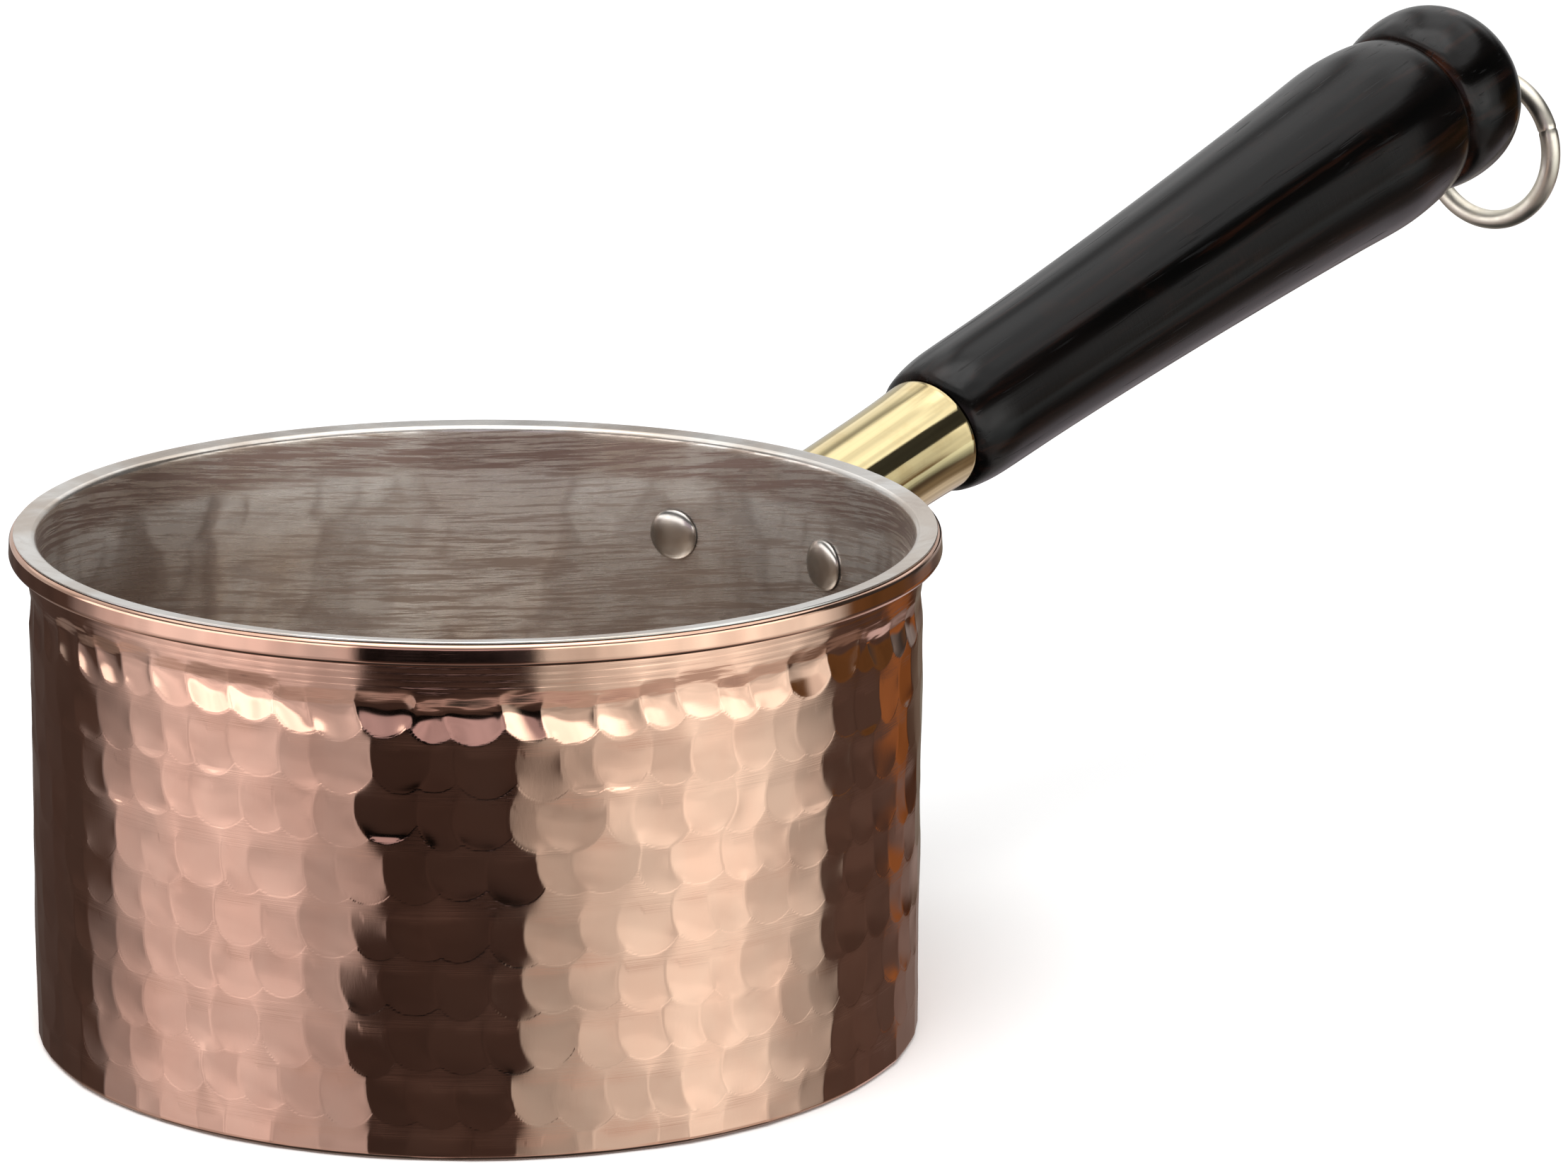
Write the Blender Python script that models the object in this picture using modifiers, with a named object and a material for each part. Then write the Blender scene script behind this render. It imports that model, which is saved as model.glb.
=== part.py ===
"""A tin-lined copper coffee pot with a ferruled wooden handle and a hanging ring.

The frame: the origin is the centre of the base's underside, +Z is up and the handle leans out towards +X.
Every piece of the handle is turned about one straight axis, whose empty stands on the pot's wall: its local
Z runs out along the handle, so a "reach" below is a distance along that axis from the wall.
All sizes are in metres.
"""

import math

import bmesh
import bpy
from mathutils import Vector

# --- The pot ---------------------------------------------------------------------------------------
POT_HEIGHT = 0.0816
WALL_OUTER_R = 0.0706
WALL = 0.0010
BASE = 0.0012
BASE_CORNER_R = 0.0012
FLOOR_CORNER_R = 0.0020
RIM_OUTER_R = 0.0736
RIM_DROP = 0.0038
RIM_SHEET = 0.0007
RIM_CORNER_R = 0.00075
RIM_SLOPE = 0.00025
LIP_CENTRE_R = 0.0703
LINING = 0.0003
LINING_GAP = 0.0001
HEM_GAP = 0.00035
HEM_TOP_RISE = 0.00015
WIRE_R = 0.0008
WIRE_STANDOFF = 0.00015
POT_STEPS = 72

# --- The handle's axis -----------------------------------------------------------------------------
AXIS_HEIGHT = 0.0641
AXIS_RISE = math.radians(14.2)
HANDLE_STEPS = 40
SMALL_STEPS = 20
FIT_GAP = 0.0003
CUT_MARGIN = 0.0100

# --- The bracket and its rivets --------------------------------------------------------------------
PLATE = 0.0022
BLANK_REACH = 0.0120
HUB_ROOT = -0.0080
COLLAR_R = 0.0099
COLLAR_END = 0.0052
SPIGOT_R = 0.0083
SPIGOT_END = 0.0170
SOCKET_START = 0.0070
HUB_LOBE_R = 0.0115
HUB_LOBE_LIFT = 0.0006
RIVET_LOBE_R = 0.0062
LOBE_STEP_DEG = 15
RIVET_R = 0.0022
RIVET_HOLE_R = 0.00235
RIVET_HEAD_R = 0.0042
RIVET_DOME = 0.0020
RIVET_TAIL = 0.0011
RIVET_STANDOFF = 0.00025
SIDE_RIVET_TURN = math.radians(13.6)
SIDE_RIVET_HEIGHT = 0.0645
LOWER_RIVET_HEIGHT = 0.0485

# --- The ferrule -----------------------------------------------------------------------------------
FERRULE_START = COLLAR_END + FIT_GAP
FERRULE_END = 0.0464
FERRULE_FLARE = 0.0360
FERRULE_START_R = 0.00970
FERRULE_FLARE_R = 0.00982
FERRULE_END_R = 0.01020
FERRULE_HOLLOW = 0.00006
FERRULE_WALL = 0.0009

# --- The wooden handle -----------------------------------------------------------------------------
TENON_START = 0.0240
TENON_R = 0.00835
TENON_CHAMFER = 0.0006
SHOULDER = FERRULE_END + FIT_GAP
SHOULDER_R = 0.0102
NECK = 0.0585
NECK_R = 0.0124
SWELL = 0.1765
SWELL_R = 0.0171
SWELL_POWER = 1.55
GROOVE = 0.1924
GROOVE_R = 0.0146
KNOB = 0.2017
KNOB_R = 0.0171
KNOB_LENGTH = 0.0142
KNOB_POWER = 2.23

# --- The stud, and the insert in the wood that it screws into ---------------------------------------
STUD_R = 0.0027
STUD_START = 0.0080
STUD_END = 0.0700
STUD_CHAMFER = 0.0005
STUD_BORE_END = 0.0730
INSERT_R = 0.0043
INSERT_START = 0.0243
INSERT_END = 0.0440
INSERT_FLANGE_R = 0.0056
INSERT_FLANGE = 0.0012

# --- The screw eye, which stands level ---------------------------------------------------------------
EYE_R = 0.0036
EYE_BAR_R = 0.0011
EYE_REACH = 0.0062
EYE_DROP = 0.0019
STEM_R = 0.0014
STEM_LENGTH = 0.0240
STEM_POINT = 0.0040
STEM_TIP_R = 0.0003

# --- The hanging ring ------------------------------------------------------------------------------
RING_R = 0.01375
RING_WIRE_R = 0.0018
RING_GAP = 0.00025
RING_REST = 0.00025
RING_POINTS = 48
RING_JOINT_TURN = math.radians(69)

AXIS_DIRECTION = Vector((math.cos(AXIS_RISE), 0, math.sin(AXIS_RISE)))
AXIS_START = Vector((WALL_OUTER_R, 0, AXIS_HEIGHT))


# --- The scene, its collections and materials ------------------------------------------------------
def cleared_collections():
    """Empties the scene and returns (the pot's collection, the cutters' collection)."""
    for old in list(bpy.data.objects):
        bpy.data.objects.remove(old, do_unlink=True)
    made = []
    for name in ("coffee_pot", "cutters"):
        group = bpy.data.collections.new(name)
        bpy.context.scene.collection.children.link(group)
        made.append(group)
    return made


def finish(name, colour, metallic, roughness):
    material = bpy.data.materials.new(name)
    material.use_nodes = True
    shader = material.node_tree.nodes["Principled BSDF"]
    shader.inputs["Base Color"].default_value = (*colour, 1.0)
    shader.inputs["Metallic"].default_value = metallic
    shader.inputs["Roughness"].default_value = roughness
    material.diffuse_color = (*colour, 1.0)
    return material


# --- Outlines --------------------------------------------------------------------------------------
def arc(centre, radius, start_deg, end_deg, points):
    """Points on an arc of an (r, z) outline. 0 degrees points outward and 90 degrees points up."""
    turned_by = [math.radians(start_deg + (end_deg - start_deg) * i / (points - 1)) for i in range(points)]
    return [(centre[0] + radius * math.cos(a), centre[1] + radius * math.sin(a)) for a in turned_by]


def clockwise(outline):
    """The outline in the order that a Screw modifier needs, which runs down its outer side."""
    area = 0.0
    for (r0, z0), (r1, z1) in zip(outline, outline[1:] + outline[:1]):
        area += r0 * z1 - r1 * z0
    return outline if area < 0 else outline[::-1]


# --- Making pieces ---------------------------------------------------------------------------------
def added(name, data, group, material=None, parent=None):
    piece = bpy.data.objects.new(name, data)
    group.objects.link(piece)
    if material:
        data.materials.append(material)
    piece.parent = parent
    return piece


def turned(name, outline, steps, group, material=None, parent=None, ring=False):
    """A piece turned about its local Z. The ends of its (r, z) outline lie on the axis, or meet in a ring."""
    points = [(r, 0.0, z) for r, z in clockwise(outline)]
    edges = [(i, i + 1) for i in range(len(points) - 1)]
    if ring:
        edges.append((len(points) - 1, 0))
    mesh = bpy.data.meshes.new(name)
    mesh.from_pydata(points, edges, [])
    piece = added(name, mesh, group, material, parent)
    screw = piece.modifiers.new("Turned", "SCREW")
    screw.steps = steps
    screw.render_steps = steps
    screw.use_merge_vertices = True
    screw.merge_threshold = 0.00001
    screw.use_smooth_shade = True
    return piece


def rod_outline(radius, start, end, chamfer=0.0):
    if not chamfer:
        return [(0, end), (radius, end), (radius, start), (0, start)]
    return [
        (0, end),
        (radius - chamfer, end),
        (radius, end - chamfer),
        (radius, start + chamfer),
        (radius - chamfer, start),
        (0, start),
    ]


def helper(piece):
    """Hides a piece that only shapes others."""
    piece.hide_render = True
    piece.display_type = "WIRE"
    return piece


def combined(piece, operation, other):
    boolean = piece.modifiers.new(f"{operation.title()} {other.name}", "BOOLEAN")
    boolean.operation = operation
    boolean.object = helper(other)
    return piece


def radial_empty(name, group, turn, height):
    """An empty on the pot's axis whose local Z points level out of the pot, at this turn from the handle."""
    empty = added(name, None, group)
    empty.location = (0, 0, height)
    empty.rotation_euler = (0, math.pi / 2, turn)
    return empty


# --- The pot's sheet metal -------------------------------------------------------------------------
def inner_wall(offset, lip_z):
    """The (r, z) outline of a surface inside the pot, this far in from the copper's inner face."""
    floor_z = BASE + offset
    corner_r = FLOOR_CORNER_R - offset
    corner = (WALL_OUTER_R - WALL - FLOOR_CORNER_R, floor_z + corner_r)
    lip_r = LIP_CENTRE_R - (WALL_OUTER_R - WALL) + offset
    return (
        [(0, floor_z)]
        + arc(corner, corner_r, -90, 0, 5)
        + arc((LIP_CENTRE_R, lip_z), lip_r, 180, 90, 5)
    )


def copper_outline(lip_z):
    """The sheet from the middle of the base, up the inside, over the rim, round the hem and down the wall."""
    top = POT_HEIGHT - LINING - LINING_GAP
    bottom = POT_HEIGHT - RIM_DROP
    hem_r = RIM_OUTER_R - RIM_SHEET
    hem_top = top - RIM_SLOPE - RIM_SHEET + HEM_TOP_RISE
    band = arc((RIM_OUTER_R - RIM_CORNER_R, top - RIM_CORNER_R), RIM_CORNER_R, 90, 0, 5)
    tuck = arc((RIM_OUTER_R - RIM_SHEET, bottom + RIM_SHEET), RIM_SHEET, 0, -90, 4)
    hem = [
        (WALL_OUTER_R + HEM_GAP, bottom),
        (WALL_OUTER_R + HEM_GAP, bottom + RIM_SHEET),
        (hem_r, bottom + RIM_SHEET),
        (hem_r, hem_top),
        (WALL_OUTER_R, hem_top),
    ]
    corner = (WALL_OUTER_R - BASE_CORNER_R, BASE_CORNER_R)
    return inner_wall(0, lip_z) + band + tuck + hem + arc(corner, BASE_CORNER_R, 0, -90, 4) + [(0, 0)]


def lining_outline(lip_z):
    """The tin over the inside and the top of the rim, where it ends in a small bevel."""
    edge_r = RIM_OUTER_R - RIM_CORNER_R
    underside = [(edge_r, POT_HEIGHT - LINING)]
    bevel = [(edge_r - LINING / 2, POT_HEIGHT), (edge_r, POT_HEIGHT - LINING / 2)]
    outside = inner_wall(LINING_GAP, lip_z)
    inside = inner_wall(LINING_GAP + LINING, lip_z)
    return inside + bevel + underside + outside[::-1]


def rim_wire(group, material):
    """The wire that the rim's sheet is folded round."""
    centre_r = (WALL_OUTER_R + RIM_OUTER_R - RIM_SHEET) / 2
    middle = POT_HEIGHT - RIM_DROP + RIM_SHEET + WIRE_STANDOFF + WIRE_R
    section = arc((centre_r, middle), WIRE_R, 0, -315, 8)
    return turned("rim_wire", section, POT_STEPS, group, material, ring=True)


# --- The bracket -----------------------------------------------------------------------------------
def plate_blank(group, name):
    """A prism through the wall whose outline is stretched round the three rivets and the handle's hub."""
    side = WALL_OUTER_R * math.sin(SIDE_RIVET_TURN)
    lobes = (
        (0, AXIS_HEIGHT + HUB_LOBE_LIFT, HUB_LOBE_R),
        (side, SIDE_RIVET_HEIGHT, RIVET_LOBE_R),
        (-side, SIDE_RIVET_HEIGHT, RIVET_LOBE_R),
        (0, LOWER_RIVET_HEIGHT, RIVET_LOBE_R),
    )
    bm = bmesh.new()
    for y, z, radius in lobes:
        for a in range(0, 360, LOBE_STEP_DEG):
            rim_y = y + radius * math.cos(math.radians(a))
            rim_z = z + radius * math.sin(math.radians(a))
            for x in (WALL_OUTER_R - BLANK_REACH, WALL_OUTER_R + BLANK_REACH):
                bm.verts.new((x, rim_y, rim_z))
    hull = bmesh.ops.convex_hull(bm, input=bm.verts)
    bmesh.ops.delete(bm, geom=hull["geom_interior"], context="VERTS")
    bmesh.ops.recalc_face_normals(bm, faces=bm.faces)
    mesh = bpy.data.meshes.new(name)
    bm.to_mesh(mesh)
    bm.free()
    return added(name, mesh, group)


def handle_bracket(group, cutters, axis, rivet_places, material):
    """A curved plate on the wall with a collar that the ferrule seats on and a spigot that it slides over."""
    bracket = plate_blank(group, "handle_bracket")
    bracket.data.materials.append(material)
    plate_face_r = WALL_OUTER_R + FIT_GAP + PLATE
    full_height = (-CUT_MARGIN, POT_HEIGHT + CUT_MARGIN)
    plate_face = turned("plate_face", rod_outline(plate_face_r, *full_height), POT_STEPS, cutters)
    combined(bracket, "INTERSECT", plate_face)
    hub = rod_outline(SPIGOT_R, COLLAR_END, SPIGOT_END)[:3] + [(COLLAR_R, COLLAR_END)]
    hub += [(COLLAR_R, HUB_ROOT), (0, HUB_ROOT)]
    combined(bracket, "UNION", turned("hub", hub, HANDLE_STEPS, cutters, parent=axis))
    wall_space = rod_outline(WALL_OUTER_R + FIT_GAP, *full_height)
    combined(bracket, "DIFFERENCE", turned("wall_space", wall_space, POT_STEPS, cutters))
    socket = rod_outline(STUD_R + FIT_GAP, SOCKET_START, SPIGOT_END + CUT_MARGIN)
    combined(bracket, "DIFFERENCE", turned("stud_socket", socket, SMALL_STEPS, cutters, parent=axis))
    for place in rivet_places:
        combined(bracket, "DIFFERENCE", rivet_hole(place, cutters))
    return bracket


# --- The rivets ------------------------------------------------------------------------------------
def rivet_hole(place, cutters):
    """The cutter for one rivet's hole, which the bracket and both sheets share."""
    name = f"{place.name}_hole"
    if name in bpy.data.objects:
        return bpy.data.objects[name]
    outline = rod_outline(RIVET_HOLE_R, WALL_OUTER_R - CUT_MARGIN, WALL_OUTER_R + CUT_MARGIN)
    return turned(name, outline, SMALL_STEPS, cutters, parent=place)


def rivet(name, place, group, material):
    """A domed head on the bracket's plate, a shank through the wall and a flatter head on the lining."""
    plate_face = WALL_OUTER_R + FIT_GAP + PLATE + RIVET_STANDOFF / 2
    lining_face = WALL_OUTER_R - WALL - LINING_GAP - LINING - RIVET_STANDOFF
    head = domed(plate_face, RIVET_DOME)
    tail = domed(lining_face, -RIVET_TAIL)
    outline = head + [(RIVET_R, plate_face), (RIVET_R, lining_face)] + tail[::-1]
    return turned(name, outline, SMALL_STEPS, group, material, place)


def domed(base, height):
    """A quarter ellipse from the axis, this far above its base, to the edge of a rivet's head."""
    turns = [math.radians(a) for a in (68, 46, 24, 0)]
    return [(0, base + height)] + [(RIVET_HEAD_R * math.cos(a), base + height * math.sin(a)) for a in turns]


# --- The handle ------------------------------------------------------------------------------------
def ferrule_outline():
    """A thin tube that widens a little towards the wood."""
    outer = [
        (FERRULE_START_R, FERRULE_START),
        (FERRULE_FLARE_R, FERRULE_FLARE),
        ((FERRULE_FLARE_R + FERRULE_END_R) / 2 - FERRULE_HOLLOW, (FERRULE_FLARE + FERRULE_END) / 2),
        (FERRULE_END_R, FERRULE_END),
    ]
    inner = [(r - FERRULE_WALL, reach) for r, reach in outer]
    return outer + inner[::-1]


def shoulder():
    """A quarter ellipse from the ferrule's end out to the neck."""
    length = NECK - SHOULDER
    rise = NECK_R - SHOULDER_R
    turns = [math.radians(a) for a in (0, 20, 40, 60, 75)]
    return [(SHOULDER_R + rise * math.sin(a), NECK - length * math.cos(a)) for a in turns]


def swell(points=10):
    """The grip's long hollow curve from the neck to its thickest place."""
    steps = [i / (points - 1) for i in range(points)]
    return [(NECK_R + (SWELL_R - NECK_R) * u**SWELL_POWER, NECK + (SWELL - NECK) * u) for u in steps]


def grip_end():
    """A quarter ellipse from the thickest place down into the groove."""
    turns = [math.radians(a) for a in (25, 45, 62, 76, 90)]
    drop = SWELL_R - GROOVE_R
    length = GROOVE - SWELL
    return [(GROOVE_R + drop * math.cos(a), SWELL + length * math.sin(a)) for a in turns]


def knob():
    """A quarter ellipse out of the groove, then a ball that flattens towards its end."""
    front = []
    for a in (14, 30, 50, 70, 90):
        turn = math.radians(a)
        front.append((GROOVE_R + (KNOB_R - GROOVE_R) * math.sin(turn), KNOB - (KNOB - GROOVE) * math.cos(turn)))
    back = []
    for u in (0.25, 0.45, 0.62, 0.76, 0.87, 0.945, 0.985):
        back.append((KNOB_R * (1 - u**KNOB_POWER) ** (1 / KNOB_POWER), KNOB + KNOB_LENGTH * u))
    return front + back + [(0, KNOB + KNOB_LENGTH)]


def stud_bore():
    """The blind bore from its end back to the tenon's face, with a recess for the insert and its flange."""
    insert_r = INSERT_R + FIT_GAP
    flange_r = INSERT_FLANGE_R + FIT_GAP
    flange_end = INSERT_START + INSERT_FLANGE + FIT_GAP
    return [
        (0, STUD_BORE_END),
        (STUD_R + FIT_GAP, STUD_BORE_END),
        (STUD_R + FIT_GAP, INSERT_END + FIT_GAP),
        (insert_r, INSERT_END + FIT_GAP),
        (insert_r, flange_end),
        (flange_r, flange_end),
        (flange_r, TENON_START),
    ]


def handle_outline():
    """The bore, the tenon in the ferrule, the shoulder, the grip, the groove and the knob."""
    tenon = [
        (TENON_R - TENON_CHAMFER, TENON_START),
        (TENON_R, TENON_START + TENON_CHAMFER),
        (TENON_R, SHOULDER),
    ]
    return stud_bore() + tenon + shoulder() + swell() + grip_end() + knob()


def insert_outline():
    """A bush with a flange, which draws the handle in when the stud is tightened."""
    bore_r = STUD_R + FIT_GAP
    return [
        (bore_r, INSERT_START),
        (INSERT_FLANGE_R, INSERT_START),
        (INSERT_FLANGE_R, INSERT_START + INSERT_FLANGE),
        (INSERT_R, INSERT_START + INSERT_FLANGE),
        (INSERT_R, INSERT_END),
        (bore_r, INSERT_END),
    ]


# --- The screw eye ---------------------------------------------------------------------------------
def eye_centre():
    """The eye's middle: it stands level out of the knob, entering a little under the handle's axis."""
    across = Vector((-AXIS_DIRECTION.z, 0, AXIS_DIRECTION.x))
    entry = AXIS_START + AXIS_DIRECTION * (KNOB + KNOB_LENGTH) - across * EYE_DROP
    return entry + Vector((EYE_REACH, 0, 0))


def screw_eye(group, cutters, material):
    """A stem that tapers to its point, with an eye whose hole runs across the handle."""
    place = added("screw_eye_place", None, group)
    place.location = eye_centre()
    place.rotation_euler = (0, -math.pi / 2, 0)
    stem = [(0, STEM_LENGTH), (STEM_TIP_R, STEM_LENGTH), (STEM_R, STEM_LENGTH - STEM_POINT)]
    stem += [(STEM_R, EYE_R), (0, EYE_R)]
    screw = turned("screw_eye", stem, SMALL_STEPS, group, material, place)
    bpy.ops.mesh.primitive_torus_add(
        major_radius=EYE_R, minor_radius=EYE_BAR_R, major_segments=28, minor_segments=10
    )
    eye = bpy.context.object
    eye.name = "eye"
    for owner in list(eye.users_collection):
        owner.objects.unlink(eye)
    cutters.objects.link(eye)
    eye.parent = place
    eye.rotation_euler = (math.pi / 2, 0, 0)
    return combined(screw, "UNION", eye)


def stem_hole(cutters, place):
    outline = rod_outline(STEM_R + FIT_GAP, EYE_R, STEM_LENGTH + FIT_GAP)
    return turned("stem_hole", outline, SMALL_STEPS, cutters, parent=place)


# --- The ring --------------------------------------------------------------------------------------
def ring_hinge():
    """The middle of the ring's wire where it lies in the eye, which is what the ring swings about."""
    drop = EYE_R - EYE_BAR_R - RING_WIRE_R - RING_REST
    return eye_centre() - Vector((0, 0, drop))


def hanging_ring(group, material):
    """A wire bent into a circle that hangs across the handle, with its ends butted on one side."""
    curve = bpy.data.curves.new("hanging_ring", "CURVE")
    curve.dimensions = "3D"
    curve.bevel_depth = RING_WIRE_R
    curve.bevel_resolution = 2
    curve.use_fill_caps = True
    spline = curve.splines.new("POLY")
    spline.points.add(RING_POINTS - 1)
    gap_turn = RING_GAP / RING_R
    for i, point in enumerate(spline.points):
        turn = RING_JOINT_TURN + gap_turn / 2 + (2 * math.pi - gap_turn) * i / (RING_POINTS - 1)
        point.co = (0, -RING_R * math.sin(turn), RING_R * math.cos(turn) - RING_R, 1)
    ring = added("hanging_ring", curve, group, material)
    ring.location = ring_hinge()
    return ring


# --- The whole pot ---------------------------------------------------------------------------------
def build():
    group, cutters = cleared_collections()
    copper = finish("copper", (0.80, 0.42, 0.29), 1.0, 0.22)
    tin = finish("tin", (0.72, 0.69, 0.66), 1.0, 0.35)
    brass = finish("brass", (0.86, 0.72, 0.36), 1.0, 0.20)
    pale_brass = finish("pale_brass", (0.83, 0.74, 0.56), 1.0, 0.25)
    wood = finish("ebonised_wood", (0.016, 0.013, 0.012), 0.0, 0.38)
    steel = finish("steel", (0.56, 0.57, 0.58), 1.0, 0.30)

    axis = added("handle_axis", None, group)
    axis.location = AXIS_START
    axis.rotation_euler = (0, math.pi / 2 - AXIS_RISE, 0)
    rivet_places = [
        radial_empty("rivet_left_place", group, SIDE_RIVET_TURN, SIDE_RIVET_HEIGHT),
        radial_empty("rivet_right_place", group, -SIDE_RIVET_TURN, SIDE_RIVET_HEIGHT),
        radial_empty("rivet_lower_place", group, 0, LOWER_RIVET_HEIGHT),
    ]

    lip_z = POT_HEIGHT - LINING - LINING_GAP - RIM_SLOPE - (LIP_CENTRE_R - WALL_OUTER_R + WALL)
    body = turned("copper_body", copper_outline(lip_z), POT_STEPS, group, copper)
    lining = turned("tin_lining", lining_outline(lip_z), POT_STEPS, group, tin)
    for place in rivet_places:
        for sheet in (body, lining):
            combined(sheet, "DIFFERENCE", rivet_hole(place, cutters))
    rim_wire(group, steel)

    handle_bracket(group, cutters, axis, rivet_places, brass)
    for name, place in zip(("rivet_left", "rivet_right", "rivet_lower"), rivet_places):
        rivet(name, place, group, copper)

    turned("ferrule", ferrule_outline(), HANDLE_STEPS, group, brass, axis, ring=True)
    wood_piece = turned("wooden_handle", handle_outline(), HANDLE_STEPS, group, wood, axis)
    turned("threaded_insert", insert_outline(), SMALL_STEPS, group, brass, axis, ring=True)
    stud = rod_outline(STUD_R, STUD_START, STUD_END, STUD_CHAMFER)
    turned("handle_stud", stud, SMALL_STEPS, group, steel, axis)
    screw = screw_eye(group, cutters, brass)
    combined(wood_piece, "DIFFERENCE", stem_hole(cutters, screw.parent))
    hanging_ring(group, pale_brass)


build()
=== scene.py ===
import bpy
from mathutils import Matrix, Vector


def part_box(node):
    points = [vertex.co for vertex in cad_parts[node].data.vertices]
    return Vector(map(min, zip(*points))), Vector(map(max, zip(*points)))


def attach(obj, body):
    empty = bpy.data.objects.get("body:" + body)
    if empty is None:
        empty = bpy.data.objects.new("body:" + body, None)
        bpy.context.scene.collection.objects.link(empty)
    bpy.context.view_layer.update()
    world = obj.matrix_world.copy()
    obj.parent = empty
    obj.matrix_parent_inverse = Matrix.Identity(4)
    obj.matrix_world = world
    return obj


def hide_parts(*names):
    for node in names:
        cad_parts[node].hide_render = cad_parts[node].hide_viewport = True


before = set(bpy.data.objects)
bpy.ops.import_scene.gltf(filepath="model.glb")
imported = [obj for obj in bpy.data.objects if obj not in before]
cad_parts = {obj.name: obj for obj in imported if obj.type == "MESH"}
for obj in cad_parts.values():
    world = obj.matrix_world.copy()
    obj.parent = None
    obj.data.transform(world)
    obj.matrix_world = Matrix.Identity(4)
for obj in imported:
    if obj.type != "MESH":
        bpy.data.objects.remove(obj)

"""The looks of a hammered copper coffee pot, in metres, in the same frame as its CAD.

Every shown surface is rebuilt at a finer pitch than the CAD solid that it stands for: the copper wall
with its hammer marks, the tinned inside with the same marks pushed through, the turned handle, the brass
ferrule, the bracket and its rivets, the screw eye and the ring. Sizes come from the frame.
"""

import random
from math import atan2, ceil, cos, degrees, hypot, pi, radians, sin, sqrt

import bpy
import numpy as np
from mathutils import Matrix, Vector

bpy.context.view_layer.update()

# --- The pitch of the fine meshes ---
WALL_COLUMNS = 1200
LINING_COLUMNS = 720
LINING_ROWS = 200
TURNED_COLUMNS = 160
FINE_PITCH = 0.00018

# --- The hammer marks ---
MARK_SEED = 11
MARK_ROWS = 9
MARK_ROW_PITCH = 0.00865
MARKS_AROUND = 62
MARK_LENGTH = 0.0098
MARK_HALF_WIDTH = 0.0049
MARK_ROUND = 0.0054
MARK_EDGE = 0.00022
MARK_FLATNESS = 1.05
MARK_CROWN = 0.034
FIRST_ROW_DROP = 0.0118
FIRST_ROW_LENGTH = 0.0080
FIRST_ROW_CLIMB = 0.150
FIRST_ROW_PLUNGE = 0.26
CRESCENT_CLIMB = 0.13
SETTLING = 0.020
TORN_ROWS = 2
TORN_WAVES = 90
TORN_SHARE = 0.035
INSIDE_SHARE = 1.25
SWELL_DEPTH = 0.00010
TIN_METALLIC = 0.9
BAND_LEAN = 0.00011
RIM_BRUSHING = 0.25
GROOVE_SEED = 5
GROOVE_ZONE = 0.0056
FOOT_SHARES = (0.9, 0.75, 0.55, 0.3, 0.1)
RIM_DROP = 0.00025
LINING_CORNER = 0.0016

# --- The handle, the bracket, the rivets, the eye and the ring ---
FULL_RING = 12
AXIS_NEAR = 1e-7
BORE_LIMIT = 0.0065
GROOVE_FROM = 0.03
GROOVE_TO = 0.012
BRACKET_COLUMNS = 240
PLATE_DEPTH = 0.0022
PLATE_EDGE = 0.0009
FILLET = 0.0022
COLLAR_LIMIT = 0.0090
SOCKET_DEPTH = 0.0100
TOP_LOBE = 0.0115
RIVET_LOBE = 0.0062
RIVET_SHANK = 0.0022
RIVET_COLUMNS = 64
RIVET_FLATS = 7
EYE_WIRE = 0.0011
EYE_COLUMNS = 20
THREAD_STEPS = 220
THREAD_PITCH = 0.0011
THREAD_POINT = 0.0042
RING_JOINT = radians(69)
RING_GAP = 0.00003
RING_STEPS = 181
RING_COLUMNS = 36

# --- The camera and the light ---
CAMERA_PLACE = (-0.7661, -0.6898, 0.3372)
CAMERA_HEADING = radians(-50.70)
CAMERA_TILT = radians(-14.44)
CAMERA_ROLL = radians(-0.35)
CAMERA_LENS = 154.26
LIGHT_TARGET = Vector((0.05, 0, 0.04))
KEY_PLACE = (-0.6, -0.2, 1.2)
KEY_SIZE = 0.9
KEY_POWER = 9.0


# --- Reading the frame ---
def node_points(node):
    """A CAD node's vertices at rest, each place once."""
    found = np.array([v.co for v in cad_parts[node].data.vertices], float)
    return np.unique(found.round(7), axis=0)


def pot_sizes():
    """The pot's driving sizes, read from its two sheets."""
    copper = node_points("copper_body")
    tin = node_points("tin_lining")
    copper_r = np.hypot(copper[:, 0], copper[:, 1])
    tin_r = np.hypot(tin[:, 0], tin[:, 1])
    rim_r = copper_r.max()
    low_ring = copper[:, 2] < copper[:, 2].max() / 40
    wall_r = copper_r[low_ring].max()
    rim_zone = copper_r > (wall_r + rim_r) / 2
    tin_heights = tin[tin_r < tin_r.min() + 0.0001, 2]
    copper_inside = (copper_r < wall_r - 0.0005) & (copper[:, 2] > 0)
    return {
        "rim_r": rim_r,
        "wall_r": wall_r,
        "copper_top": copper[:, 2].max(),
        "top": tin[:, 2].max(),
        "band_low": copper[rim_zone, 2].min(),
        "inner_r": tin_r.min() + LINING_CORNER,
        "floor": tin_heights.max(),
        "copper_floor": copper[copper_inside, 2].min(),
    }


def handle_frame():
    """(place, direction) of the handle's axis, from the stud, which is turned about it."""
    stud = node_points("handle_stud")
    middle = stud.mean(0)
    direction = np.linalg.svd(stud - middle)[2][0]
    if direction[0] < 0:
        direction = -direction
    return middle, direction


def axis_matrix(place, direction):
    """A matrix whose local Z is the direction and whose local X is level."""
    z = Vector(direction).normalized()
    x = Vector((0, 0, 1)).cross(z).normalized()
    y = z.cross(x)
    matrix = Matrix.Identity(4)
    for i, column in enumerate((x, y, z)):
        matrix.col[i][:3] = column
    matrix.translation = Vector(place)
    return matrix


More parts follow.
